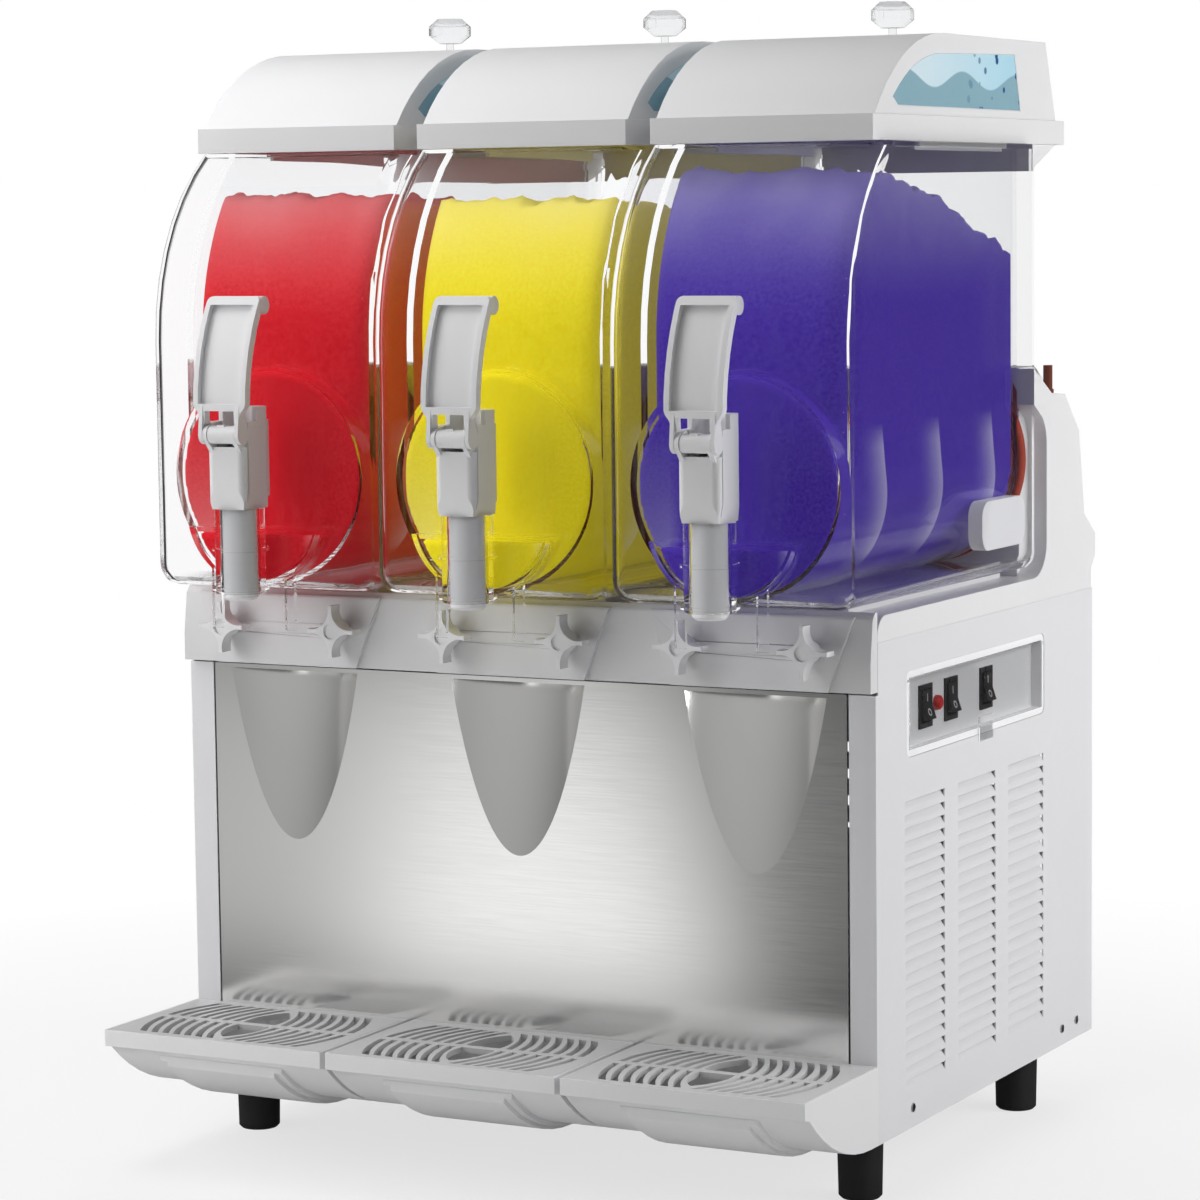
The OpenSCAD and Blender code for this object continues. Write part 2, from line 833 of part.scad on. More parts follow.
// Tap body: case over the outlet tube, split along its sides, with a boss on the bowl and two ears
split_d = 2;
split_w = 1.2;
module tap_body(i) {
    translate([bowl_x(i), 0, 0])
        color(white)
            difference() {
                union() {
                    intersection() {
                        along_x(2 * case_w) {
                            polygon(case_front_profile());
                            polygon(case_rear_profile());
                        }
                        along_y(case_front - 1, case_back + 1)
                            case_outline(case_w);
                        translate([0, tap_y, tube_top - 1])
                            linear_extrude(2 * case_h)
                                round_rect(2 * case_w, case_back - case_front, 6);
                    }
                    block([-case_w + 5, case_back - 1, tube_top + 8],
                          [case_w - 5, bowl_front, tube_top + case_h]);
                    both_sides() {
                        from_x(ear_in, ear_out)
                            tap_ear();
                        rod_x(pivot_r, ear_out - 1, cheek_in + cheek_t, pivot_y, pivot_z);
                    }
                }
                translate([0, tap_y, tube_top - 1])
                    cylinder(r = piston_r + run_gap, h = case_h + case_step + 2);
                both_sides()
                    block([case_w - split_d, case_split - split_w, tube_top - 1],
                          [case_w + 1, case_split, column_top + 1]);
            }
}

// Tap piston: slides in the tube, with a forked head that the lever's crank pin lifts
fork_d = 9;
module tap_piston(i) {
    shoulder = column_top - 15;
    translate([bowl_x(i), 0, 0])
        color(white) {
            translate([0, tap_y, piston_bottom]) {
                cylinder(r1 = piston_r - 2, r2 = piston_r, h = 2);
                translate([0, 0, 2])
                    cylinder(r = piston_r, h = shoulder - piston_bottom - 2);
            }
            both_sides()
                from_x(fork_in, fork_out)
                    difference() {
                        translate([tap_y - fork_d, shoulder - eps])
                            square([2 * fork_d, pin_z + pin_r + 4 - shoulder]);
                        translate([tap_y - 6, pin_z - pin_r - 0.5])
                            square([12, 2 * pin_r + 1]);
                    }
        }
}

// Tap lever: curved plate with a framed hollow front and a rolled top, on two cheeks and a crank
lever_rim = 4;
lever_hollow = 4;
roll_r = 6.5;
crank_w = 3;
module lever_band(half, r_out, r_in, z0, z1) {
    centre_y = lever_front + lever_arc_r;
    intersection() {
        difference() {
            rod_x(r_out, -half, half, centre_y, lever_z);
            rod_x(r_in, -half - 1, half + 1, centre_y, lever_z);
        }
        block([-half, lever_front - 2, z0], [half, centre_y - lever_arc_r / 2, z1]);
    }
}

// Front outline of the lever: round corners at the top, shoulders curving in to the neck
shoulder_r = 9;
corner_r = 4;
module lever_outline() {
    neck = cheek_in + cheek_t;
    top = lever_z + lever_h;
    turn = acos(1 - (lever_w - neck) / (2 * shoulder_r));
    foot = lever_z - 6;
    right = concat(
        [[neck, pivot_z - ear_r]],
        arc([neck + shoulder_r, foot], shoulder_r, 180, 180 - turn, 4),
        arc([lever_w - shoulder_r, foot + 2 * shoulder_r * sin(turn)], shoulder_r, 4 - turn, 0, 4),
        arc([lever_w - corner_r, top - corner_r], corner_r, 0, 90, 4)
    );
    polygon(right);
    mirror([1, 0])
        polygon(right);
    polygon([[-neck, pivot_z - ear_r], [neck, pivot_z - ear_r], [lever_w - corner_r, top],
             [-lever_w + corner_r, top]]);
}

module tap_lever(i) {
    top = lever_z + lever_h;
    foot = lever_z - shoulder_r;
    roll_y = lever_front + lever_arc_r - sqrt(pow(lever_arc_r - lever_t, 2) - pow(lever_h - roll_r, 2));
    translate([bowl_x(i), 0, 0])
        color(white)
            difference() {
                union() {
                    intersection() {
                        lever_band(lever_w, lever_arc_r, lever_arc_r - lever_t, foot, top);
                        along_y(lever_front - 1, lever_front + lever_arc_r)
                            lever_outline();
                    }
                    rod_x(roll_r, -lever_w + 1, lever_w - 1, roll_y + roll_r / 2, top - roll_r);
                    both_sides()
                        from_x(cheek_in, cheek_in + cheek_t) {
                            polygon([[lever_front, lever_z + 3], [lever_front + lever_t, lever_z + 3],
                                     [pivot_y + ear_r, pivot_z], [pivot_y - ear_r, pivot_z]]);
                            translate([pivot_y, pivot_z])
                                circle(r = ear_r);
                        }
                    rod_x(ear_r - 0.5, -ear_in + free_gap, ear_in - free_gap, pivot_y, pivot_z);
                    along_x(2 * crank_w)
                        polygon([[lever_front + 2, lever_z + 3], [lever_front + lever_t, lever_z + 3],
                                 [pivot_y + 5, pivot_z], [pivot_y - 4, pivot_z]]);
                    translate([0, pivot_y, pivot_z])
                        rotate([-crank_a, 0, 0])
                            block([-crank_w, 0, -3], [crank_w, crank_r, 3]);
                    rod_x(pin_r, -fork_out, fork_out, pin_y, pin_z);
                }
                lever_band(lever_w - lever_rim, lever_arc_r + 1, lever_arc_r - lever_hollow,
                           lever_z + lever_rim + 1, top - lever_rim - 2);
                lever_band(cheek_in - 1.5, lever_arc_r + 1, lever_arc_r - 2 * lever_t, foot - 1, lever_z);
                both_sides()
                    rod_x(pivot_r + run_gap, ear_out, cheek_in + cheek_t + 1, pivot_y, pivot_z);
            }
}

// Outline of the domed part of a lid, set in by t
dome_a = 180 - asin((dome_r - dome_h) / dome_r);
function dome_profile(t) = concat(
    [[lid_rear - 14 - t, skirt_top - (t > 0 ? 2 : 0)], [dome_nose + t, skirt_top - (t > 0 ? 2 : 0)]],
    arc([dome_flat, lid_top - dome_r], dome_r - t, dome_a - (t > 0 ? 1 : 0), 90, 9),
    [[lid_rear - 35 - t, lid_top - t]]
);

// Outline of the sign window on a lid's side
sign_in = 1;
sign_edge = 14;
sign_rise = 6;
sign_a = 180 - asin((skirt_top + 2 * sign_rise - lid_top + dome_r) / (dome_r - sign_edge));
function sign_profile() = concat(
    [[lid_rear - 86, skirt_top + sign_rise], [dome_nose + 42, skirt_top + sign_rise]],
    arc([dome_flat, lid_top - dome_r], dome_r - sign_edge, sign_a, 92, 8),
    [[lid_rear - 98, lid_top - sign_edge + 3]]
);

// Lid: domed shell with a straight skirt, side sign windows and a tail that hooks behind the bowl
lid_lip = 6;
tail_drop = 20;
module lid(i) {
    tail_y = bowl_rear + 6;
    translate([bowl_x(i), 0, 0])
        color(white)
            difference() {
                union() {
                    block([-lid_w / 2, lid_front, lid_z], [lid_w / 2, lid_rear, skirt_top]);
                    along_x(lid_w - 2 * lid_step)
                        polygon(dome_profile(0));
                    both_sides()
                        block([trough_r - 3.5, vessel_front + 110, lid_z - lid_lip],
                              [trough_r - 0.5, vessel_rear - 20, lid_z + lid_wall]);
                    along_x(lid_w - 2 * lid_step)
                        polygon([[tail_y, lid_z], [tail_y, lid_z - tail_drop],
                                 [tail_y + 8, lid_z - tail_drop], [lid_rear - 14, lid_z]]);
                }
                block([-lid_w / 2 + lid_wall, lid_front + lid_wall, lid_z + lid_wall + 3],
                      [lid_w / 2 - lid_wall, lid_rear - lid_wall, skirt_top - 1]);
                block([-trough_r + 3.5, lid_front + lid_wall + 7, lid_z - 1],
                      [trough_r - 3.5, tail_y - lid_wall - 4, lid_z + lid_wall + 4]);
                along_x(lid_w - 2 * lid_step - 2 * lid_wall)
                    polygon(dome_profile(lid_wall));
                along_x(lid_w - 2 * lid_step - 2 * lid_wall)
                    polygon([[tail_y + lid_wall, lid_z + lid_wall + 4],
                             [tail_y + lid_wall, lid_z + lid_wall - tail_drop],
                             [tail_y + 7, lid_z + lid_wall - tail_drop],
                             [lid_rear - 18, lid_z + lid_wall + 4]]);
                for (s = [-1, 1])
                    translate([s * (lid_w / 2 - lid_step), 0, 0])
                        along_x(2 * sign_in)
                            polygon(sign_profile());
                translate([0, lid_knob_y, lid_top - lid_wall - 1])
                    cylinder(r = stem_r + run_gap, h = lid_wall + 2);
            }
}

// Clear faceted knob on a stem through the lid, held by a disc underneath
lid_knob_h = 19;
stem_show = 10;
module lid_knob(i) {
    r = lid_knob_d / 2;
    translate([bowl_x(i), lid_knob_y, lid_top])
        color(clear) {
            translate([0, 0, -lid_wall - 4])
                cylinder(r = stem_r, h = lid_wall + 4 + stem_show + 1);
            translate([0, 0, -lid_wall - 4])
                cylinder(r = 2.5 * stem_r, h = 4 - free_gap);
            translate([0, 0, stem_show])
                rotate_extrude($fn = 8)
                    polygon([[0, 0], [r - 8, 0], [r, 6], [r, lid_knob_h - 6],
                             [r - 7, lid_knob_h], [0, lid_knob_h]]);
        }
}

// Side outline of a drip tray: straight band at the front, then one sweep down to the cabinet's foot
tray_sweep_r = 146;
function tray_sweep_c() = [tray_back - 11.7, tray_floor + tray_sweep_r];
function tray_sweep_a(t) =
    180 + acos((tray_sweep_c().x - tray_front - 8 - max(t, 0)) / (tray_sweep_r - t));
function tray_profile(t, top) = concat(
    [[tray_back - max(t, 0), top], [tray_front + max(t, 0), top],
     [tray_front + max(t, 0), tray_top - tray_band + t]],
    arc(tray_sweep_c(), tray_sweep_r - t, tray_sweep_a(t), 270, 8),
    [[tray_back - max(t, 0), tray_floor + t]]
);

module tray_sump(w, grow) {
    intersection() {
        along_x(w)
            polygon(tray_profile(-grow, tray_top - grid_t));
        block([-w / 2, tray_front + 12, tray_floor - 2 * sump_h],
              [w / 2, tray_back - 4, tray_top - tray_band - 6]);
    }
}

// Drip tray: moulded trough hooked on the cabinet's foot, with a deeper sump in the middle
module drip_tray(i) {
    translate([bowl_x(i), 0, 0])
        color(white)
            difference() {
                union() {
                    along_x(tray_w)
                        polygon(tray_profile(0, tray_top));
                    tray_sump(2 * sump_w, sump_h);
                    tray_sump(2 * sump_w + 12, sump_h / 2);
                }
                along_x(tray_w - 2 * tray_wall)
                    polygon(tray_profile(tray_wall, tray_top + 1));
                intersection() {
                    along_x(2 * sump_w - 2 * tray_wall)
                        polygon(tray_profile(tray_wall - sump_h, tray_top - grid_t));
                    block([-sump_w, tray_front + 12 + tray_wall, tray_floor - 2 * sump_h],
                          [sump_w, tray_back - 4 - tray_wall, tray_top]);
                }
                block([-grid_w / 2 - free_gap, grid_y - grid_d / 2 - free_gap, tray_top - grid_t],
                      [grid_w / 2 + free_gap, grid_y + grid_d / 2 + free_gap, tray_top + 1]);
            }
}

// One curved slot of a drip grid, in the quarter (sx, sy)
slot_first = 20.7;
slot_side = 2.3;
slot_pitch = (grid_w / 2 - slot_first - slot_side) / 7;
slot_bow_r = 104;
slot_margin = 6;
module grid_slot(k, sx, sy) {
    middle_gap = 3.5;
    x = slot_first + k * slot_pitch;
    scale_y = grid_d / 2 - slot_margin - middle_gap;
    intersection() {
        translate([sx * (x - slot_bow_r), 0])
            difference() {
                circle(r = slot_bow_r + slot_w / 2, $fn = 128);
                circle(r = slot_bow_r - slot_w / 2, $fn = 128);
            }
        translate([sx > 0 ? 0 : -grid_w / 2, sy > 0 ? middle_gap : -middle_gap - scale_y])
            square([grid_w / 2, scale_y]);
    }
}

// One leaf-shaped drain opening of a drip grid
leaf_w = 14.3;
leaf_l = 33;
module grid_leaf(sy) {
    leaf_r = (leaf_l * leaf_l + leaf_w * leaf_w) / (2 * leaf_w);
    intersection() {
        translate([leaf_w - leaf_r, sy * 12])
            circle(r = leaf_r);
        translate([leaf_r - leaf_w, sy * 12])
            circle(r = leaf_r);
        translate([-leaf_w, sy > 0 ? 3.5 : -50])
            square([2 * leaf_w, 46.5]);
    }
}

// Drip grid: plate in the tray's rim with bowed slots in each quarter and two leaf-shaped openings
module drip_grid(i) {
    translate([bowl_x(i), grid_y, tray_top - grid_t])
        color(grey)
            linear_extrude(grid_t)
                difference() {
                    round_rect(grid_w, grid_d, 2);
                    for (k = [0:slot_count - 1], sx = [-1, 1], sy = [-1, 1])
                        grid_slot(k, sx, sy);
                    grid_leaf(1);
                    grid_leaf(-1);
                }
}

// Control plate: recessed plate with a rounded frame, cut out for the switches and the lamp
plate_sheet = 1.5;
switch_w = 20;
switch_h = 28;
switch_d = 15;
switch_lip = 1.5;
lamp_r = 5.5;
module control_plate() {
    color(grey)
        translate([0, frame_y, frame_z])
            difference() {
                union() {
                    from_x(plate_x - plate_sheet, plate_x)
                        round_rect(frame_l - 0.6, frame_h - 0.6, bezel_r);
                    from_x(plate_x - plate_sheet, half_w - 0.4)
                        difference() {
                            round_rect(frame_l - 0.6, frame_h - 0.6, bezel_r);
                            square([frame_l - 2 * bezel_w, frame_h - 2 * bezel_w], center = true);
                        }
                }
                for (y = rocker_ys)
                    translate([0, y, 0])
                        from_x(plate_x - 2 * plate_sheet, plate_x + 1)
                            square([switch_w, switch_h], center = true);
                rod_x(lamp_r - 1.5, plate_x - 2 * plate_sheet, plate_x + 1, lamp_y, 0);
                translate([cover_x + cover_t / 2, -frame_l / 2 + bezel_w - 3, hinge_z - frame_z])
                    rotate([-90, 0, 0])
                        cylinder(r = 1 + run_gap, h = frame_l - 2 * bezel_w + 6);
            }
}

// Switch frames: the fixed bodies of the three rocker switches
module switch_frames() {
    color(black)
        for (y = rocker_ys)
            translate([0, frame_y + y, frame_z])
                difference() {
                    union() {
                        from_x(plate_x - switch_d, plate_x)
                            square([switch_w, switch_h], center = true);
                        from_x(plate_x, plate_x + switch_lip)
                            square([switch_w + 2 * switch_lip, switch_h + 2 * switch_lip], center = true);
                    }
                    from_x(rocker_x - 6, plate_x + 2 * switch_lip)
                        square([2 * rocker_hw + 2 * free_gap, 2 * rocker_hh + 2.8], center = true);
                    rotate([90, 0, 0])
                        translate([rocker_x, 0, -switch_w / 2 + 0.3])
                            cylinder(r = 1.5 + run_gap, h = switch_w - 0.6);
                }
}

// Rocker: paddle with a shallow V face on two side trunnions, tipped with its lower end out
module rocker(n) {
    translate([rocker_x, frame_y + rocker_ys[n - 1], frame_z])
        rotate([0, -rocker_a, 0])
            color(black) {
                along_y(-rocker_hw, rocker_hw)
                    polygon([[-4, -7.5], [4.2, -rocker_hh], [6.2, -rocker_hh], [4.6, 0], [6.2, rocker_hh],
                             [4.2, rocker_hh], [-4, 7.5]]);
                rod_y(1.5, -rocker_hw - 1.6, rocker_hw + 1.6, 0);
            }
}

// Red lens of the pilot lamp
module panel_lamp() {
    translate([plate_x, frame_y + lamp_y, frame_z])
        rotate([0, 90, 0])
            color("firebrick") {
                rotate_extrude()
                    polygon(concat([[0, 0], [lamp_r, 0]], arc([lamp_r - 2.5, 2], 2.5, 0, 90, 4), [[0, 4.5]]));
                translate([0, 0, -8])
                    cylinder(r = lamp_r - 1.7, h = 8);
            }
}

// Clear cover over the switches, hinged along its top edge, with a finger tab below
tab_l = 27;
module control_cover() {
    cover_l = frame_l - 2 * bezel_w - 0.8;
    cover_h = hinge_z + 1.5 - (frame_z - frame_h / 2 + bezel_w + 0.4);
    color(clear) {
        translate([0, frame_y, hinge_z + 1.5 - cover_h / 2])
            from_x(cover_x, cover_x + cover_t)
                square([cover_l, cover_h], center = true);
        translate([cover_x + cover_t / 2, frame_y - cover_l / 2 - 2, hinge_z])
            rotate([-90, 0, 0])
                cylinder(r = 1, h = cover_l + 4);
        block([cover_x + cover_t - eps, frame_y, frame_z - frame_h / 2 - 5],
              [cover_x + cover_t + 0.8, frame_y + tab_l, frame_z - frame_h / 2 + bezel_w + 8]);
    }
}

// Compressor: domed steel can on a foot plate
can_r = 78;
can_h = 190;
module compressor() {
    translate([compressor_x, compressor_y, pan_z + sheet])
        color(black) {
            rotate_extrude()
                polygon(concat(
                    [[0, 10], [can_r * 0.6, 10]],
                    arc([can_r - 30, 40], 30, 270, 360, 6),
                    arc([can_r - 45, can_h - 45], 45, 0, 90, 8),
                    [[0, can_h]]
                ));
            for (s = [-1, 1])
                block([s * can_r - 12, -can_r, 8], [s * can_r + 12, can_r, 12]);
            block([-can_r, -20, 8], [can_r, 20, 14]);
            for (sx = [-1, 1], sy = [-1, 1])
                translate([sx * can_r, sy * (can_r - 14), 0])
                    cylinder(r = 9, h = 9);
        }
}

// Condenser: stack of fins on rows of tube, standing beside the right louvres
fin_count = 18;
fin_t = 1;
condenser_w = 34;
condenser_l = 230;
condenser_h = 205;
module condenser() {
    x = half_w - 60;
    color(steel)
        translate([x, fan_y - condenser_l / 2, pan_z + sheet]) {
            for (k = [0:fin_count - 1])
                translate([0, k * (condenser_l - fin_t) / (fin_count - 1), 0])
                    cube([condenser_w, fin_t, condenser_h]);
            for (k = [0:5], c = [0.27, 0.73])
                translate([condenser_w * c, 0, condenser_h * (k + 0.5) / 6])
                    rotate([-90, 0, 0])
                        translate([0, 0, -12])
                            cylinder(r = 5, h = condenser_l + 24);
        }
}

// Fan motor on an upright bracket, with its shaft towards the condenser
motor_r = 34;
motor_l = 53;
motor_back = 22;
bracket_w = 40;
bracket_t = 8;
bracket_foot = 48;
module fan_motor() {
    motor_x = fan_x - motor_back;
    bracket_x = motor_x - motor_l / 2;
    color(black)
        translate([0, fan_y, 0]) {
            rod_x(motor_r, motor_x - motor_l, motor_x, 0, fan_z);
            rod_x(motor_shaft_r, motor_x - 1, fan_x + motor_back / 2, 0, fan_z);
            block([bracket_x - bracket_t / 2, -bracket_w / 2, pan_z + sheet],
                  [bracket_x + bracket_t / 2, bracket_w / 2, fan_z]);
            block([bracket_x - bracket_foot / 2, -bracket_w * 0.75, pan_z + sheet],
                  [bracket_x + bracket_foot / 2, bracket_w * 0.75, pan_z + sheet + bracket_t / 2]);
        }
}

// Fan blades: five pitched blades on a hub bored for the motor's shaft
blade_count = 5;
blade_w = 48;
blade_t = 2;
hub_r = 22;
hub_h = 24;
module fan_blades() {
    color(steel)
        translate([fan_x, fan_y, fan_z])
            rotate([0, 90, 0])
                difference() {
                    union() {
                        translate([0, 0, -0.6 * hub_h])
                            cylinder(r = hub_r, h = hub_h);
                        intersection() {
                            for (k = [0:blade_count - 1])
                                rotate(k * 360 / blade_count)
                                    rotate([28, 0, 0])
                                        translate([hub_r * 0.7, -blade_w / 2, -blade_t / 2])
                                            cube([fan_r, blade_w, blade_t]);
                            translate([0, 0, -0.6 * hub_h])
                                cylinder(r = fan_r, h = 1.2 * hub_h);
                        }
                    }
                    translate([0, 0, -hub_h])
                        cylinder(r = motor_shaft_r + run_gap, h = 2 * hub_h);
                }
}

// Gearmotors in the tower: a gearbox on the front wall with its motor behind
gear_w = 64;
gear_h = 76;
gear_drop = 32;
motor_can_r = 24;
module gearmotors() {
    wall_y = tower_y + housing_wall;
    color("dimgray")
        for (i = bowls)
            translate([bowl_x(i), 0, 0])
                difference() {
                    union() {
                        block([-gear_w / 2, wall_y, axis_z - gear_drop],
                              [gear_w / 2, wall_y + gear_d, axis_z - gear_drop + gear_h]);
                        rod_y(motor_can_r, wall_y + gear_d - 1, wall_y + 0.48 * tower_d, axis_z - 4);
                    }
                    rod_y(shaft_r + run_gap, wall_y - 1, shaft_end + 2, axis_z);
                }
}

base_pan();
side_panel_left();
side_panel_right();
splash_panel();
front_rail();
top_housing();
back_panel();
control_plate();
switch_frames();
panel_lamp();
control_cover();
feet();
housing_plug();
compressor();
condenser();
fan_motor();
fan_blades();
gearmotors();
evaporator_drums();
bowl_gaskets();
for (n = [1:len(rocker_ys)]) rocker(n);
for (n = [1:2 * bowl_count]) star_knob(n);
for (i = bowls) auger(i);
for (i = bowls) bowl(i);
for (i = bowls) bowl_catch(i);
for (i = bowls) tap_body(i);
for (i = bowls) tap_lever(i);
for (i = bowls) tap_piston(i);
for (i = bowls) lid(i);
for (i = bowls) lid_knob(i);
for (i = bowls) drip_tray(i);
for (i = bowls) drip_grid(i);
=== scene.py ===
"""Finishes, contents and studio for a countertop frozen-drink dispenser with three clear bowls."""

import math

import bmesh
import bpy
from mathutils import Euler, Matrix, Vector, noise


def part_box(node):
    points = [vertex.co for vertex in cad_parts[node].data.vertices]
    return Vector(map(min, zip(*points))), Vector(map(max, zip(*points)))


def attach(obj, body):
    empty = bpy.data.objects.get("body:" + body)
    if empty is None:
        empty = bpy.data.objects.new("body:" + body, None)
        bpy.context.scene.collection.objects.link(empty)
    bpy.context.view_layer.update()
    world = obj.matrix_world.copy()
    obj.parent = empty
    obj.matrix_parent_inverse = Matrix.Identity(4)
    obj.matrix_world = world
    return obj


bl_info = {
    "name": "Frozen Drink Dispenser",
    "version": (1, 0, 0),
    "blender": (4, 5, 0),
    "location": "View3D > Sidebar > Dispenser",
    "description": "Dresses a three-bowl frozen-drink dispenser with finishes, drink, signs and a studio",
    "category": "Object",
}

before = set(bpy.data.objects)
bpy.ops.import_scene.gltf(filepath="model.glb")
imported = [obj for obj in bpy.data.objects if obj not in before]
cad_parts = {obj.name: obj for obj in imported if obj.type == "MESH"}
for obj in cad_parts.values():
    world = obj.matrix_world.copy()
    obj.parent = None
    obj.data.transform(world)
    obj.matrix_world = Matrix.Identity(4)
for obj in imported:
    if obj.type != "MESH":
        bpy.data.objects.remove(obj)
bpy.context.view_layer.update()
# One millimetre in metres
MM = 0.001
# Angle in degrees past which an edge is rounded or left sharp
SHARP = 38
BOWLS = (1, 2, 3)
SIDES = ((-1, "left"), (1, "right"))
PANEL_LOW, PANEL_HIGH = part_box("side_panel_right")
LID_LOW, LID_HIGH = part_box("lid_2")
BOWL_LOW, BOWL_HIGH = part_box("bowl_2")


def length(name, description, default_mm):
    """A length property whose default is given in millimetres."""
    return bpy.props.FloatProperty(
        name=name, description=description, default=default_mm * MM, unit="LENGTH", precision=4
    )


def colour(name, description, default):
    """A colour property without alpha."""
    return bpy.props.FloatVectorProperty(
        name=name, description=description, default=default, subtype="COLOR", size=3, min=0, max=1
    )


def bearing(name, description, default_degrees):
    """An angle property whose default is given in degrees."""
    return bpy.props.FloatProperty(
        name=name, description=description, default=math.radians(default_degrees), subtype="ANGLE"
    )


def power(name, description, default):
    """A property for the power of a lamp."""
    return bpy.props.FloatProperty(name=name, description=description, default=default, subtype="POWER")


class DispenserDrink(bpy.types.PropertyGroup):
    """Sizes of the space for the drink, its heaped top and its colours."""

    side_inset: length("Side inset", "From the bowl's outer side wall to the drink", 15.6)
    front_inset: length("Front inset", "From the bowl's front wall to the drink", 37.6)
    nose_inset: length("Nose inset", "From the bowl's front wall to the drink in the round nose", 19.6)
    rear_inset: length("Rear inset", "From the bowl's back edge to the drink", 14.2)
    curve_height: length("Curve height", "Height on the bowl where its front starts to curve back", 179)
    curve_radius: length("Curve radius", "Radius of the curved upper front", 173)
    corner_radius: length("Corner radius", "Radius of the drink's front corners", 16)
    chute_radius: length("Chute radius", "Radius of the drink in the outlet chute", 51.9)
    chute_inset: length("Chute inset", "From the bowl's front wall to the drink in the chute", -3.9)
    chute_drop: length("Chute drop", "From the auger's axis down to the top of the drink in the chute", 41)
    voxel: length("Voxel", "Size of the cells that fuse the drink's parts", 2.6)
    grain: length("Grain", "Height of the heaped ice on top", 7)
    ribbon_edge: length("Ribbon edge", "From the auger's front end to the first crescent's edge", 71.5)
    colour_1: colour("Left drink", "Colour of the drink in the left bowl", (0.62, 0.006, 0.016))
    colour_2: colour("Middle drink", "Colour of the drink in the middle bowl", (0.84, 0.70, 0.008))
    colour_3: colour("Right drink", "Colour of the drink in the right bowl", (0.056, 0.022, 0.33))


class DispenserFinish(bpy.types.PropertyGroup):
    """Colours of the machine's finishes."""

    moulding: colour("White moulding", "Colour of the white plastic", (0.80, 0.80, 0.81))
    panel: colour("Painted panel", "Colour of the painted sheet metal", (0.78, 0.78, 0.80))
    rail: colour("Rail", "Colour of the grey front rail", (0.72, 0.72, 0.73))
    steel: colour("Steel", "Colour of the brushed steel", (0.96, 0.955, 0.94))
    black: colour("Black", "Colour of the black plastic and rubber", (0.012, 0.012, 0.013))
    sign_pale: colour("Sign ground", "Ground colour of the signs on the lids", (0.46, 0.76, 0.90))
    sign_dark: colour("Sign mark", "Colour of the marks on the signs", (0.02, 0.11, 0.27))


class DispenserStudio(bpy.types.PropertyGroup):
    """Camera, lamps and surroundings."""

    camera_place: bpy.props.FloatVectorProperty(
        name="Camera place", description="Where the camera stands", default=(1.3183, -2.5350, 0.6902),
        subtype="TRANSLATION", size=3
    )
    camera_yaw: bearing("Yaw", "How far the camera stands round to the right", 27.70)
    camera_pitch: bearing("Pitch", "How far the camera looks down", 5.77)
    camera_roll: bearing("Roll", "Tilt of the camera about its own axis", -0.69)
    camera_lens: bpy.props.FloatProperty(
        name="Lens", description="Focal length on a 36 mm sensor, in millimetres", default=114.92
    )
    key_power: power("Key power", "Power of the near lamp at the front left", 10.5)
    high_power: power("High power", "Power of the lamp above the left lid", 9)
    side_power: power("Side power", "Power of the lamp at the right", 19.5)
    top_power: power("Top power", "Power of the overhead lamp", 3.5)
    rear_power: power("Rear power", "Power of the lamp behind the bowls", 20)
    low_power: power("Low power", "Power of the lamp that stands in for light off the counter", 1.4)
    strip_power: power("Strip power", "Power of the narrow lamp that draws lines along rounded corners", 2)
    world_strength: bpy.props.FloatProperty(
        name="World strength", description="Strength of the even light from all round", default=0.05
    )
    mirror_strength: bpy.props.FloatProperty(
        name="Mirror strength", description="Strength of the surroundings in reflections", default=0.18
    )


def drink_sizes():
    """The drink's settings."""
    return bpy.context.scene.dispenser_drink


def finishes():
    """The finishes' settings."""
    return bpy.context.scene.dispenser_finish


# Helpers for selecting and shaping

def activate(piece):
    """Selects one piece alone and makes it active."""
    bpy.ops.object.select_all(action="DESELECT")
    piece.select_set(True)
    bpy.context.view_layer.objects.active = piece


def pick(piece, kind, test):
    """In edit mode, selects the verts, edges or faces that pass the test."""
    bpy.ops.mesh.select_mode(type=kind)
    bpy.ops.mesh.select_all(action="DESELECT")
    mesh = bmesh.from_edit_mesh(piece.data)
    elements = {"VERT": mesh.verts, "EDGE": mesh.edges, "FACE": mesh.faces}[kind]
    chosen = [element for element in elements if test(element)]
    if not chosen:
        raise RuntimeError(f"nothing to pick on {piece.name}")
    for element in chosen:
        element.select_set(True)
    mesh.select_flush_mode()
    bmesh.update_edit_mesh(piece.data)


def edge_middle(edge):
    """The middle of an edge."""
    return (edge.verts[0].co + edge.verts[1].co) / 2


def edge_way(edge):
    """The direction of an edge, as absolute parts along the axes."""
    way = (edge.verts[1].co - edge.verts[0].co).normalized()
    return Vector((abs(way.x), abs(way.y), abs(way.z)))


def settle(piece, name):
    """Names a piece and moves its place, turn and size into its mesh."""
    activate(piece)
    bpy.ops.object.transform_apply(location=True, rotation=True, scale=True)
    piece.name = name
    piece.data.name = name
    return piece


def add_box(low, high):
    """A box between two corners, left active in object mode."""
    bpy.ops.object.select_all(action="DESELECT")
    low, high = Vector(low), Vector(high)
    bpy.ops.mesh.primitive_cube_add(size=1, location=(low + high) / 2)
    piece = bpy.context.active_object
    piece.scale = high - low
    bpy.ops.object.transform_apply(location=True, rotation=True, scale=True)
    return piece


# Turns that lay an upright bar along an axis
TURNS = {"X": (0, math.pi / 2, 0), "Y": (math.pi / 2, 0, 0)}


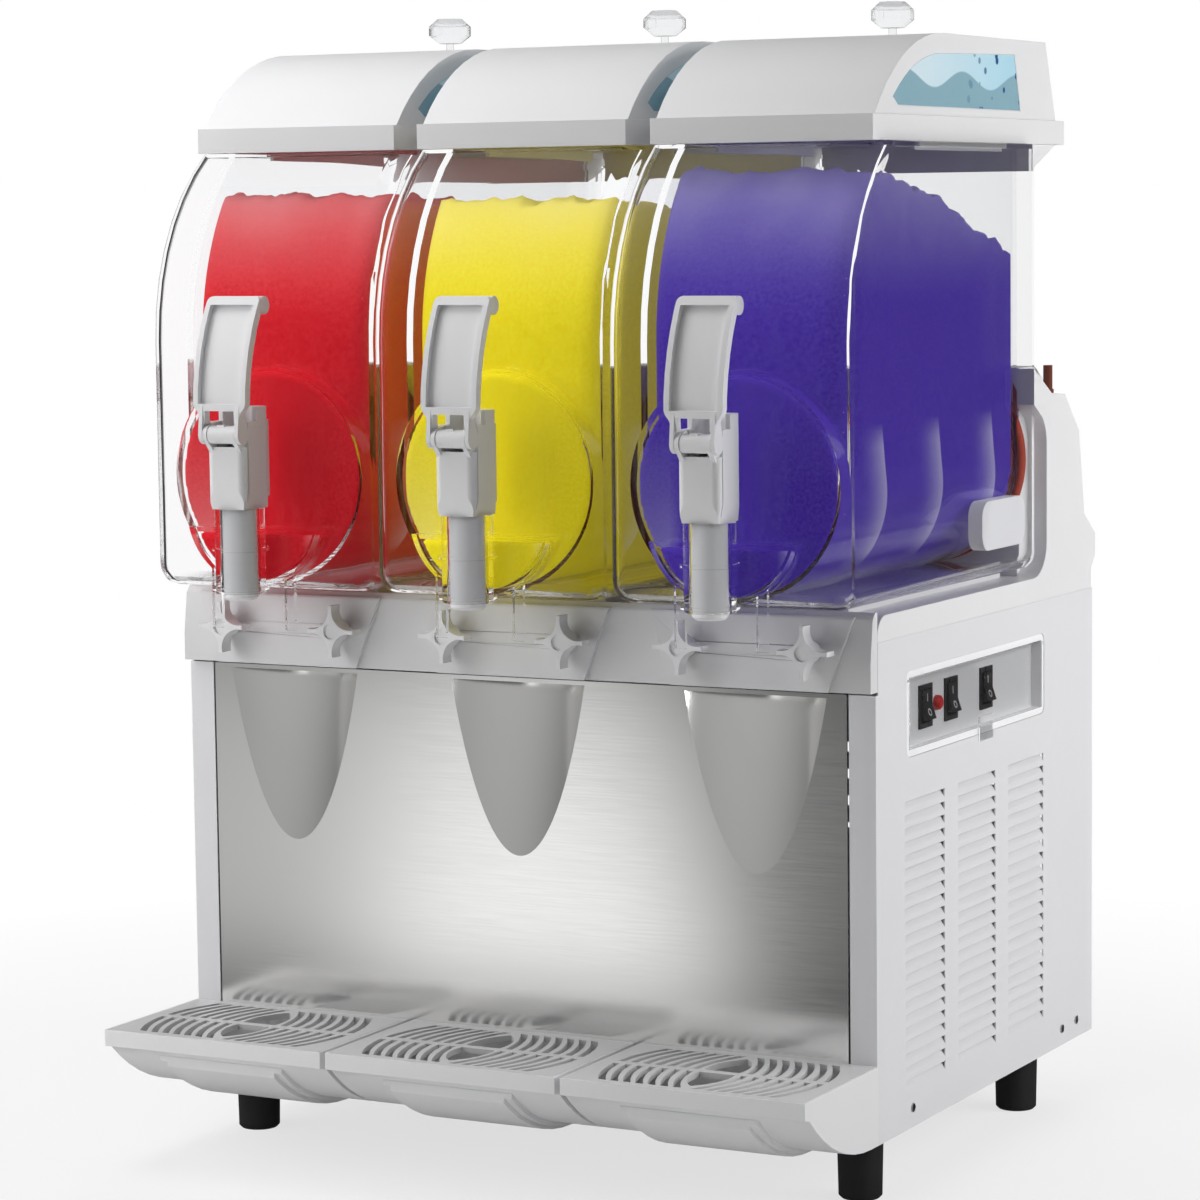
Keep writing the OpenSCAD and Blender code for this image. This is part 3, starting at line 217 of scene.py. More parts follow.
def add_rod(axis, radius, middle, depth, vertices):
    """A round bar along the X or Y axis, left active in object mode."""
    bpy.ops.object.select_all(action="DESELECT")
    bpy.ops.mesh.primitive_cylinder_add(
        vertices=vertices, radius=radius, depth=depth, location=middle, rotation=TURNS[axis]
    )
    piece = bpy.context.active_object
    bpy.ops.object.transform_apply(location=True, rotation=True, scale=True)
    return piece


def join(pieces):
    """Joins pieces into the first."""
    activate(pieces[0])
    for piece in pieces[1:]:
        piece.select_set(True)
    bpy.ops.object.join()
    return pieces[0]


def apply_modifier(piece, kind, **settings):
    """Adds a modifier, sets it and applies it."""
    activate(piece)
    modifier = piece.modifiers.new(kind.lower(), kind)
    for name, value in settings.items():
        setattr(modifier, name, value)
    bpy.ops.object.modifier_apply(modifier=modifier.name)


def smooth(piece, degrees=35):
    """Shades a piece smooth up to an angle."""
    activate(piece)
    bpy.ops.object.shade_smooth_by_angle(angle=math.radians(degrees))


def place(piece, body, material):
    """Sets a new piece on its body with its finish."""
    piece.data.materials.clear()
    piece.data.materials.append(material)
    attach(piece, body)


def repeats(stem):
    """The CAD nodes called by a stem and a number."""
    names = [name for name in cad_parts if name.rsplit("_", 1)[0] == stem and name[-1].isdigit()]
    if not names:
        raise RuntimeError(f"no node is called {stem} and a number")
    return names


def dress(names, material, edge=0.0, sharp=SHARP):
    """Gives CAD nodes a finish, curves smooth up to an angle and, with an edge, softly rounded edges."""
    for name in names:
        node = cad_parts[name]
        node.data.materials.clear()
        node.data.materials.append(material)
        activate(node)
        bpy.ops.mesh.customdata_custom_splitnormals_clear()
        bpy.ops.object.shade_smooth()
        node.modifiers.new("weld", "WELD").merge_threshold = 0.01 * MM
        if edge:
            bevel = node.modifiers.new("edges", "BEVEL")
            bevel.width = edge
            bevel.segments = 3
            bevel.limit_method = "ANGLE"
            bevel.angle_limit = math.radians(sharp)
        else:
            node.modifiers.new("creases", "EDGE_SPLIT").split_angle = math.radians(sharp)
        flats = node.modifiers.new("flats", "WEIGHTED_NORMAL")
        flats.mode = "FACE_AREA"
        flats.weight = 100
        flats.keep_sharp = True


# Helpers for materials

class Graph:
    """The nodes and links of a material or a world."""

    def __init__(self, tree):
        self.tree = tree

    def add(self, kind, **settings):
        """A new node with its settings."""
        node = self.tree.nodes.new(kind)
        for name, value in settings.items():
            setattr(node, name, value)
        return node

    def link(self, source, target):
        """Links two sockets."""
        self.tree.links.new(source, target)

    def math(self, operation, first, second=None):
        """A Math node on sockets or numbers."""
        node = self.add("ShaderNodeMath", operation=operation)
        for index, value in enumerate((first, second)):
            if isinstance(value, bpy.types.NodeSocket):
                self.link(value, node.inputs[index])
            elif value is not None:
                node.inputs[index].default_value = value
        return node.outputs[0]

    def spread(self, value, low, high, start=0.0, end=1.0):
        """Maps a value from start..end to low..high."""
        node = self.add("ShaderNodeMapRange")
        self.link(value, node.inputs["Value"])
        for name, number in (("From Min", start), ("From Max", end), ("To Min", low), ("To Max", high)):
            node.inputs[name].default_value = number
        return node.outputs["Result"]

    def mix(self, factor, first, second):
        """A mix of two shaders."""
        node = self.add("ShaderNodeMixShader")
        for socket, source in zip(node.inputs, (factor, first, second)):
            self.link(source, socket)
        return node.outputs["Shader"]

    def looked_at(self, path):
        """1 for rays that come from the camera, straight or by way of clear parts, and 0 for the rest."""
        seen = self.math("MAXIMUM", path.outputs["Is Camera Ray"], path.outputs["Is Transmission Ray"])
        plain = self.math("LESS_THAN", path.outputs["Diffuse Depth"], 0.5)
        # A ray mirrored once shows a reflection, one mirrored more often ran along inside a clear wall
        mirrors = self.math("ABSOLUTE", self.math("SUBTRACT", path.outputs["Glossy Depth"], 1))
        unmirrored = self.math("GREATER_THAN", mirrors, 0.5)
        return self.math("MULTIPLY", self.math("MULTIPLY", seen, plain), unmirrored)


class Finish(Graph):
    """A material under construction, with its main shader."""

    def __init__(self, name):
        self.material = bpy.data.materials.new(name)
        self.material.use_nodes = True
        super().__init__(self.material.node_tree)
        self.shader = self.tree.nodes["Principled BSDF"]
        self.output = self.tree.nodes["Material Output"]
        self.coordinates = self.add("ShaderNodeTexCoord").outputs["Object"]

    def set(self, **values):
        """Sets plain values on the main shader; underscores stand for spaces."""
        for name, value in values.items():
            if "Color" in name:
                value = (*value, 1)
            self.shader.inputs[name.replace("_", " ")].default_value = value

    def stretched(self, scale):
        """Object coordinates stretched by a scale along each axis."""
        node = self.add("ShaderNodeMapping")
        node.inputs["Scale"].default_value = scale
        self.link(self.coordinates, node.inputs["Vector"])
        return node.outputs["Vector"]

    def noise(self, scale, detail, vector=None):
        """A noise from 0 to 1 at a scale in cells per metre."""
        node = self.add("ShaderNodeTexNoise")
        node.inputs["Scale"].default_value = scale
        node.inputs["Detail"].default_value = detail
        self.link(vector or self.coordinates, node.inputs["Vector"])
        return node.outputs["Fac"]

    def blend(self, factor, first, second):
        """A colour between two colours, each a triple or a socket."""
        node = self.add("ShaderNodeMix", data_type="RGBA")
        self.link(factor, node.inputs[0])
        pair = [socket for socket in node.inputs if socket.type == "RGBA"]
        for socket, value in zip(pair, (first, second)):
            if isinstance(value, bpy.types.NodeSocket):
                self.link(value, socket)
            else:
                socket.default_value = (*value, 1)
        return [socket for socket in node.outputs if socket.type == "RGBA"][0]

    def relief(self, height, distance, strength):
        """Bump on the main shader's normal."""
        node = self.add("ShaderNodeBump")
        node.inputs["Distance"].default_value = distance
        node.inputs["Strength"].default_value = strength
        self.link(height, node.inputs["Height"])
        self.link(node.outputs["Normal"], self.shader.inputs["Normal"])

    def tint(self, socket):
        """Links a colour to the main shader."""
        self.link(socket, self.shader.inputs["Base Color"])

    def sheen(self, socket):
        """Links a roughness to the main shader."""
        self.link(socket, self.shader.inputs["Roughness"])


def shade(colour_value, factor):
    """A colour made darker or lighter."""
    return tuple(min(1.0, part * factor) for part in colour_value)


def paler(colour_value, share):
    """A colour taken some way towards white."""
    return tuple(part + share * (1 - part) for part in colour_value)


def moulded(name, base, roughness=0.32, coat=0.0, glow=0.0):
    """Moulded plastic: faint clouding, fine spark texture, uneven gloss and, if set, a faint painted glow.
    """
    finish = Finish(name)
    finish.set(IOR=1.48, Coat_Weight=coat, Coat_Roughness=0.12,
               Emission_Color=base, Emission_Strength=glow)
    clouds = finish.noise(9, 3)
    finish.tint(finish.blend(clouds, shade(base, 0.965), shade(base, 1.03)))
    finish.sheen(finish.spread(finish.noise(60, 4), roughness - 0.05, roughness + 0.07))
    finish.relief(finish.noise(1800, 2), 0.02 * MM, 0.5)
    return finish.material


def painted(name, base):
    """Paint on sheet metal: a faint orange peel under a satin coat."""
    finish = Finish(name)
    finish.set(IOR=1.5, Coat_Weight=0.15, Coat_Roughness=0.2)
    finish.tint(finish.blend(finish.noise(5, 2), shade(base, 0.97), shade(base, 1.02)))
    finish.sheen(finish.spread(finish.noise(40, 3), 0.36, 0.46))
    finish.relief(finish.noise(520, 2), 0.03 * MM, 0.35)
    return finish.material


def brushed(name, base, roughness=0.17):
    """Brushed steel: fine scratches across the machine in gloss, colour and relief."""
    finish = Finish(name)
    finish.set(Metallic=1.0, Anisotropic=0.3)
    grain = finish.noise(1500, 3, finish.stretched((0.02, 1, 1)))
    finish.tint(finish.blend(grain, shade(base, 0.98), shade(base, 1.015)))
    finish.sheen(finish.spread(grain, roughness - 0.015, roughness + 0.025, 0.3, 0.7))
    finish.relief(grain, 0.001 * MM, 0.2)
    return finish.material


def dull_metal(name, base, roughness=0.5):
    """Dull zinc, castings and bare fins: mottled grey metal."""
    finish = Finish(name)
    finish.set(Metallic=0.9)
    finish.tint(finish.blend(finish.noise(70, 4), shade(base, 0.8), shade(base, 1.15)))
    finish.sheen(finish.spread(finish.noise(160, 3), roughness - 0.1, roughness + 0.12))
    finish.relief(finish.noise(300, 3), 0.05 * MM, 0.4)
    return finish.material


def rubbery(name, base):
    """Rubber: matt, slightly dusty and finely pitted."""
    finish = Finish(name)
    dust = finish.noise(55, 5)
    finish.tint(finish.blend(dust, shade(base, 0.8), tuple(part + 0.012 for part in base)))
    finish.sheen(finish.spread(dust, 0.55, 0.75))
    finish.relief(finish.noise(1400, 2), 0.04 * MM, 0.5)
    return finish.material


def clear(name, tint, ior, roughness=0.015):
    """Clear plastic that lets lamps through, with faint ripples from moulding."""
    finish = Finish(name)
    finish.set(Base_Color=tint, Transmission_Weight=1.0, IOR=ior, Roughness=roughness)
    finish.relief(finish.noise(14, 1), 0.06 * MM, 0.25)
    path = finish.add("ShaderNodeLightPath")
    through = finish.add("ShaderNodeBsdfTransparent")
    through.inputs["Color"].default_value = (*shade(tint, 0.99), 1)
    solid, open_way = finish.shader.outputs["BSDF"], through.outputs["BSDF"]
    finish.link(finish.mix(path.outputs["Is Shadow Ray"], solid, open_way), finish.output.inputs["Surface"])
    return finish.material


def ribbon_highlights(finish, split, centre, radius, pitch, edge):
    """How much painted highlight lies along the auger's ribbon, on the sides of the bowl."""
    sink = 12 * MM
    across = finish.math("SUBTRACT", split.outputs["X"], centre.x)
    above = finish.math("SUBTRACT", split.outputs["Z"], centre.z)
    turn = finish.math("DIVIDE", finish.math("ARCTAN2", above, across), 2 * math.pi)
    along = finish.math("DIVIDE", finish.math("SUBTRACT", split.outputs["Y"], edge), pitch)
    phase = finish.math("FRACT", finish.math("ADD", along, turn))
    glow = finish.math("POWER", finish.spread(phase, 0.0, 1.0, 0.5, 0.99), 2.5)
    height = finish.math("ABSOLUTE", finish.math("ADD", above, sink))
    reach = finish.spread(height, 1.0, 0.0, 0.5 * radius, 0.72 * radius)
    side = finish.spread(finish.math("ABSOLUTE", across), 0.0, 1.0, 0.55 * radius, 0.7 * radius)
    return finish.math("MULTIPLY", finish.math("MULTIPLY", glow, reach), side)


def icy(name, base, centre, radius, pitch, edge):
    """Frozen drink: fine ice in the colour, painted light and frost towards the top, painted highlights
    along the auger's ribbon and a faint painted glow.
    """
    top_light_low, top_light_high = centre.z + 120 * MM, centre.z + 215 * MM
    finish = Finish(name)
    # The emission is a painted glow that brightens the drink inside the clear bowls
    finish.set(IOR=1.33, Specular_IOR_Level=0.2, Subsurface_Weight=0.2, Subsurface_Scale=6 * MM,
               Subsurface_Radius=(1, 0.6, 0.4), Emission_Strength=0.32)
    split = finish.add("ShaderNodeSeparateXYZ")
    finish.link(finish.coordinates, split.inputs[0])
    ribbon_highlight = ribbon_highlights(finish, split, centre, radius, pitch, edge)
    ice = finish.noise(420, 5)
    light = paler(shade(base, 1.06), 0.02)
    body = finish.blend(finish.spread(ice, 0, 1, 0.3, 0.75), shade(base, 0.92), light)
    # Paler towards the top: painted light from above, partly frost
    climb = finish.spread(split.outputs["Z"], 0.0, 1.0, top_light_low, top_light_high)
    clouds = finish.spread(finish.noise(16, 3), 0.75, 1.1, 0.35, 0.65)
    light_and_frost = finish.math("MULTIPLY", finish.math("POWER", climb, 1.6), clouds)
    lit_and_frosted = finish.blend(light_and_frost, body, paler(base, 0.22))
    # Painted highlights where the auger's ribbon presses the drink against the wall
    shown = finish.blend(finish.math("MULTIPLY", ribbon_highlight, 0.8), lit_and_frosted, paler(base, 0.34))
    finish.tint(shown)
    # The painted glow takes the drink's shown colours
    finish.link(shown, finish.shader.inputs["Emission Color"])
    finish.sheen(finish.spread(ice, 0.32, 0.5))
    finish.relief(finish.noise(650, 3), 0.25 * MM, 0.35)
    return finish.material


def printed(name, ground, mark):
    """A printed sign: a pale ground that deepens to one end, a wave, and drifting round flecks."""
    start, end = LID_LOW.y + 60 * MM, LID_HIGH.y - 90 * MM
    wave_level, wave_height, wave_rate = LID_HIGH.z - 32 * MM, 6 * MM, 60
    finish = Finish(name)
    finish.set(Roughness=0.22, IOR=1.5, Coat_Weight=0.3)
    split = finish.add("ShaderNodeSeparateXYZ")
    finish.link(finish.coordinates, split.inputs[0])
    drift = finish.spread(split.outputs["Y"], 0.0, 1.0, start, end)
    wave = finish.math("SINE", finish.math("MULTIPLY", split.outputs["Y"], wave_rate))
    level = finish.math("SUBTRACT", split.outputs["Z"], wave_level)
    swell = finish.math("SUBTRACT", level, finish.math("MULTIPLY", wave, wave_height))
    band = finish.spread(swell, 0.0, 1.0, -0.6 * MM, 0.6 * MM)
    sky = finish.blend(drift, paler(ground, 0.55), ground)
    sea = finish.blend(band, shade(ground, 0.62), sky)
    cells = finish.add("ShaderNodeTexVoronoi", feature="F1")
    cells.inputs["Scale"].default_value = 95
    finish.link(finish.coordinates, cells.inputs["Vector"])
    fleck = finish.spread(cells.outputs["Distance"], 1.0, 0.0, 0.24, 0.30)
    shown = finish.math("MULTIPLY", fleck, finish.spread(drift, 0.0, 1.0, 0.45, 0.75))
    finish.tint(finish.blend(shown, sea, mark))
    return finish.material


# Operators

class DISPENSER_OT_stage(bpy.types.Operator):
    """Makes the floor, the studio lamps, the world and the camera"""

    bl_idname = "dispenser.stage"
    bl_label = "Stage"

    floor_size = 14
    floor_drop = 0.2 * MM
    bounces = 96

    def execute(self, context):
        scene = context.scene
        studio = scene.dispenser_studio
        self.floor()
        self.world(scene, studio.world_strength, studio.mirror_strength)
        self.lamp("key", (-1.1, -0.9, 0.95), (-0.2, -0.15, 0.5), 0.7, 1.2, studio.key_power)
        self.lamp("high", (-0.5, -0.35, 1.7), (-0.1, -0.1, 0.75), 0.9, 0.7, studio.high_power)
        self.lamp("side", (1.65, 0.45, 0.8), (0.28, 0.05, 0.42), 1.1, 1.2, studio.side_power)
        self.lamp("overhead", (-0.1, -0.1, 2.2), (0, 0, 0.6), 1.6, 1.2, studio.top_power)
        self.lamp("rear", (-0.2, 1.8, 1.2), (0, 0.1, 0.6), 1.8, 1.0, studio.rear_power)
        self.lamp("low", (-0.45, -0.95, 0.06), (-0.1, -0.25, 0.14), 0.9, 0.25, studio.low_power)
        self.lamp("strip", (1.9, -1.0, 0.7), (0.2, -0.1, 0.55), 0.02, 1.3, studio.strip_power,
                  mirrored=True)
        self.camera(scene, studio)
        scene.view_settings.view_transform = "Standard"
        # Light that runs along a clear wall meets it many times before it leaves at the far end
        scene.cycles.max_bounces = self.bounces
        scene.cycles.glossy_bounces = self.bounces
        scene.cycles.transmission_bounces = self.bounces
        scene.cycles.transparent_max_bounces = 32
        return {"FINISHED"}

    def floor(self):
        """A white floor that keeps the shadow near the object and fades to plain white around it."""
        bpy.ops.object.select_all(action="DESELECT")
        bpy.ops.mesh.primitive_plane_add(size=self.floor_size, location=(0, 0, -self.floor_drop))
        floor = settle(bpy.context.active_object, "floor")
        finish = Finish("studio_floor")
        finish.set(Base_Color=(0.86, 0.86, 0.86), Roughness=0.6)
        split = finish.add("ShaderNodeSeparateXYZ")
        finish.link(finish.coordinates, split.inputs[0])
        x, y = split.outputs["X"], split.outputs["Y"]
        squares = finish.math("ADD", finish.math("MULTIPLY", x, x), finish.math("MULTIPLY", y, y))
        away = finish.math("SQRT", squares)
        fade = finish.spread(away, 0.7, 1.0, 0.5, 1.1)
        path = finish.add("ShaderNodeLightPath")
        camera_glow = finish.add("ShaderNodeEmission")
        camera_glow.inputs["Strength"].default_value = 1.0
        mirror_glow = finish.add("ShaderNodeEmission")
        finish.link(self.pool(finish, x, y), mirror_glow.inputs["Strength"])
        bare = finish.shader.outputs["BSDF"]
        near = finish.mix(fade, bare, camera_glow.outputs["Emission"])
        mirrored = finish.mix(path.outputs["Is Glossy Ray"], bare, mirror_glow.outputs["Emission"])
        shown = finish.mix(finish.looked_at(path), mirrored, near)
        finish.link(shown, finish.output.inputs["Surface"])
        floor.data.materials.append(finish.material)

    def pool(self, finish, x, y):
        """Brightness of the floor in reflections: a pool of light in front, dimmer all round."""
        lean, offset = 0.552, 0.083
        slant = finish.math("MULTIPLY", y, lean)
        across = finish.math("SUBTRACT", finish.math("SUBTRACT", x, slant), offset)
        right = finish.spread(across, 1.0, 0.12, 0.15, 0.28)
        left = finish.spread(across, 0.45, 1.0, -0.24, -0.09)
        near = finish.spread(y, 1.0, 0.35, -0.95, -0.6)
        far = finish.spread(y, 0.15, 1.0, -3.6, -2.5)
        rear = finish.spread(y, 1.0, 0.3, -0.3, 0.0)
        sides = finish.math("MULTIPLY", right, left)
        front = finish.math("MULTIPLY", sides, near)
        return finish.math("MULTIPLY", front, finish.math("MULTIPLY", far, rear))

    def world(self, scene, lit_level, mirror_level):
        """White where it is looked at, dimmer as light and in mirrors: paler overhead, darker behind."""
        world = bpy.data.worlds.new("studio")
        scene.world = world
        world.use_nodes = True
        graph = Graph(world.node_tree)
        path = graph.add("ShaderNodeLightPath")
        lit = graph.tree.nodes["Background"]
        mirrored, white = (graph.add("ShaderNodeBackground") for _ in range(2))
        for node, level in ((lit, lit_level), (mirrored, mirror_level), (white, 1)):
            node.inputs["Color"].default_value = (1, 1, 1, 1)
            node.inputs["Strength"].default_value = level
        split = graph.add("ShaderNodeSeparateXYZ")
        graph.link(graph.add("ShaderNodeTexCoord").outputs["Generated"], split.inputs[0])
        overhead = graph.spread(split.outputs["Z"], mirror_level, 2.4 * mirror_level, 0.02, 0.25)
        behind = graph.spread(split.outputs["Y"], 1.0, 0.15, 0.3, 0.7)
        graph.link(graph.math("MULTIPLY", overhead, behind), mirrored.inputs["Strength"])
        dim = graph.mix(path.outputs["Is Glossy Ray"], lit.outputs[0], mirrored.outputs[0])
        shown = graph.mix(graph.looked_at(path), dim, white.outputs[0])
        graph.link(shown, graph.tree.nodes["World Output"].inputs["Surface"])

    def lamp(self, name, place_at, target, width, height, watts, mirrored=False):
        """An area lamp, seen only in reflections and there only if it is mirrored."""
        bpy.ops.object.select_all(action="DESELECT")
        bpy.ops.object.light_add(type="AREA", location=place_at)
        lamp = bpy.context.active_object
        lamp.name = name
        lamp.data.shape = "RECTANGLE"
        lamp.data.size = width
        lamp.data.size_y = height
        lamp.data.energy = watts
        lamp.rotation_euler = (Vector(target) - Vector(place_at)).to_track_quat("-Z", "Y").to_euler()
        lamp.visible_camera = False
        lamp.visible_glossy = mirrored
        lamp.visible_transmission = False

    def camera(self, scene, studio):
        """The camera, set by its place and three angles."""
        bpy.ops.object.select_all(action="DESELECT")
        bpy.ops.object.camera_add(location=studio.camera_place)
        camera = bpy.context.active_object
        camera.name = "camera"
        camera.data.sensor_width = 36
        camera.data.lens = studio.camera_lens
        upright = Euler((math.pi / 2 - studio.camera_pitch, 0, studio.camera_yaw)).to_matrix()
        rolled = upright @ Matrix.Rotation(studio.camera_roll, 3, "Z")
        camera.rotation_euler = rolled.to_euler()
        scene.camera = camera


class DISPENSER_OT_mouldings(bpy.types.Operator):
    """Finishes the white and grey plastic mouldings"""

    bl_idname = "dispenser.mouldings"
    bl_label = "Mouldings"

    def execute(self, context):
        colours = finishes()
        white = moulded("white_moulding", colours.moulding)
        tray = moulded("tray_moulding", colours.moulding, 0.36)
        grey = moulded("rail_moulding", colours.rail, 0.36)
        # The drip grids take a darker copy of the white: painted shade from the machine above them
        grid = moulded("grid_moulding", shade(colours.moulding, 0.86), 0.38)
        dress(["top_housing"], white, 1.0 * MM)
        dress(repeats("lid"), white, 2.2 * MM)
        # Little light reaches the catches through the walls of the bowls, so they are given a faint painted
        # glow
        dress(repeats("bowl_catch"), moulded("catch_moulding", colours.moulding, glow=0.15), 1.5 * MM)
        dress(repeats("tap_body"), white, 0.8 * MM)
        dress(repeats("tap_lever"), white, 0.8 * MM)
        dress(repeats("tap_piston"), white, 0.4 * MM)
        dress(repeats("star_knob"), white, 1.0 * MM)
        dress(repeats("auger"), white)
        dress(repeats("drip_tray"), tray, 1.2 * MM)
        dress(repeats("drip_grid"), grid, 0.5 * MM)
        dress(["front_rail"], grey, 1.0 * MM)
        # The control plate is a lighter grey than the rail, lightened further as painted light for what the
        # clear cover keeps off it
        dress(["control_plate"], moulded("plate_moulding", shade(colours.rail, 1.28), 0.4), 0.4 * MM)
        return {"FINISHED"}


class DISPENSER_OT_metalwork(bpy.types.Operator):
    """Finishes the sheet metal, the steel and the machinery inside"""

    bl_idname = "dispenser.metalwork"
    bl_label = "Metalwork"

    def execute(self, context):
        colours = finishes()
        paint = painted("panel_paint", colours.panel)
        dress(["side_panel_left", "side_panel_right", "back_panel"], paint)
        dress(["splash_panel"], brushed("splash_steel", colours.steel), sharp=8)
        dress(["evaporator_drums"], brushed("drum_steel", colours.steel, 0.3))
        dress(["base_pan"], dull_metal("zinc_sheet", (0.50, 0.51, 0.53)))
        dress(["condenser", "fan_blades"], dull_metal("bare_fins", (0.62, 0.63, 0.65), 0.4))
        dress(["gearmotors", "fan_motor"], dull_metal("motor_casting", (0.16, 0.17, 0.18)))
        dress(["compressor"], painted("compressor_paint", colours.black))
        return {"FINISHED"}


class DISPENSER_OT_small_parts(bpy.types.Operator):
    """Finishes the feet, seals, switches and lamp"""

    bl_idname = "dispenser.small_parts"
    bl_label = "Small Parts"

    def execute(self, context):
        colours = finishes()
        dress(["feet"], rubbery("foot_rubber", colours.black), 0.8 * MM)
        dress(["bowl_gaskets"], rubbery("seal_rubber", (0.36, 0.035, 0.012)))
        dress(["housing_plug"], rubbery("plug_rubber", (0.16, 0.03, 0.012)), 0.5 * MM)
        switch = moulded("switch_black", colours.black, 0.28)
        dress(["switch_frames", *repeats("rocker")], switch, 0.3 * MM)
        lens = moulded("lamp_red", (0.55, 0.008, 0.006), 0.15, 0.6)
        dress(["panel_lamp"], lens)
        return {"FINISHED"}


class DISPENSER_OT_clear_parts(bpy.types.Operator):
    """Finishes the clear bowls, lid knobs and switch cover"""

    bl_idname = "dispenser.clear_parts"
    bl_label = "Clear Parts"

    def execute(self, context):
        dress(repeats("bowl"), clear("bowl_clear", (0.992, 0.994, 0.997), 1.16))
        dress(repeats("lid_knob"), clear("knob_clear", (0.90, 0.91, 0.92), 1.4, 0.16))
        dress(["control_cover"], clear("cover_clear", (0.99, 0.992, 0.995), 1.15, 0.02))
        return {"FINISHED"}


class DISPENSER_OT_drinks(bpy.types.Operator):
    """Fills the bowls with heaped frozen drink"""

    bl_idname = "dispenser.drinks"
    bl_label = "Drinks"

    # Heights of each heap at the front and at the rear
    levels = {1: (0.704, 0.678), 2: (0.698, 0.672), 3: (0.716, 0.655)}
    auger_pitch = 100 * MM
    # From the outlet's front to the bowl's front wall, and from the tabs' lower ends to its floor
    front_step = 44 * MM
    floor_step = 28 * MM
    wall = 3 * MM
    chute_gap = 4 * MM
    chute_overlap = 8 * MM
    # Height over the auger's axis from which the heap is shaped
    heap_start = 60 * MM
    # How the heap falls to the rear, and how it rises to the side walls
    fall_power = 1.3
    rim_rise, rim_rate = 4 * MM, 9
    # Lumps of ice: how close they lie, each layer's share and fineness, and the shift from bowl to bowl
    lumps_per_metre = 26
    lump_layers = ((1, 1), (0.55, 2.7), (0.3, 6.1))
    bowl_shift = 7.0

    def execute(self, context):
        sizes = drink_sizes()
        for index in BOWLS:
            piece = self.fill(index, sizes)
            base = getattr(sizes, f"colour_{index}")
            low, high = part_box(f"auger_{index}")
            radius = (high.z - low.z) / 2
            material = icy(f"drink_ice_{index}", base, (low + high) / 2, radius, self.auger_pitch,
                           low.y + sizes.ribbon_edge)
            place(piece, f"bowl_{index}", material)
        return {"FINISHED"}

    def fill(self, index, sizes):
        """Fuses a block, a round trough and a cut-off chute into one body of drink."""
        low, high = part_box(f"bowl_{index}")
        auger_low, auger_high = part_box(f"auger_{index}")
        middle = (low.x + high.x) / 2
        axis_z = (auger_low.z + auger_high.z) / 2
        bowl_front = BOWL_LOW.y + self.front_step
        bowl_floor = BOWL_LOW.z + self.floor_step
        reach = (high.x - low.x) / 2 - sizes.side_inset
        front = bowl_front + sizes.front_inset
        rear = BOWL_HIGH.y - sizes.rear_inset
        top = self.levels[index][0]
        block = add_box((middle - reach, front, axis_z), (middle + reach, rear, top))
        bpy.ops.object.mode_set(mode="EDIT")
        pick(block, "EDGE", lambda e: edge_way(e).z > 0.9 and edge_middle(e).y < front + MM)
        bpy.ops.mesh.bevel(offset=sizes.corner_radius, segments=6)
        bpy.ops.object.mode_set(mode="OBJECT")
        nose = bowl_front + sizes.nose_inset
        trough = add_rod("Y", reach, (middle, (nose + rear) / 2, axis_z), rear - nose, vertices=96)
        chute_front = bowl_front + sizes.chute_inset
        chute_y = (chute_front + nose) / 2 + self.chute_overlap / 2
        chute_z = bowl_floor + self.wall + sizes.chute_radius + self.chute_gap
        chute = add_rod("Y", sizes.chute_radius, (middle, chute_y, chute_z),
                        nose - chute_front + self.chute_overlap, vertices=64)
        bpy.ops.object.mode_set(mode="EDIT")
        bpy.ops.mesh.select_all(action="SELECT")
        bpy.ops.mesh.bisect(plane_co=(0, 0, axis_z - sizes.chute_drop), plane_no=(0, 0, 1), use_fill=True,
                            clear_outer=True)
        bpy.ops.object.mode_set(mode="OBJECT")
        piece = join([block, trough, chute])
        apply_modifier(piece, "REMESH", mode="VOXEL", voxel_size=sizes.voxel)
        self.heap(piece, index, middle, front, rear, top, axis_z, bowl_floor + sizes.curve_height, sizes)
        settle(piece, f"drink_{index}")
        activate(piece)
        bpy.ops.object.shade_smooth()
        return piece

    def heap(self, piece, index, middle, front, rear, top, axis_z, curve_z, sizes):
        """Leans the upper front back along the bowl's curve and heaps the top unevenly."""
        high_front, high_rear = self.levels[index]
        radius = sizes.curve_radius
        base = axis_z + self.heap_start
        rate = self.lumps_per_metre
        for vertex in piece.data.vertices:
            co = vertex.co
            if co.z > base:
                share = max(0.0, (co.y - front) / (rear - front))
                level = high_front + (high_rear - high_front) * share ** self.fall_power
                across = (co.x - middle) * self.rim_rate
                seed = Vector((co.x * rate, co.y * rate, index * self.bowl_shift))
                lumps = sum(part * noise.noise(seed * fine) for part, fine in self.lump_layers)
                level += sizes.grain * lumps + self.rim_rise * across * across
                co.z = base + (co.z - base) * (level - base) / (top - base)
            if co.z > curve_z:
                rise = co.z - curve_z
                back = radius - math.sqrt(radius * radius - rise * rise)
                co.y = front + back + (co.y - front) * (rear - front - back) / (rear - front)


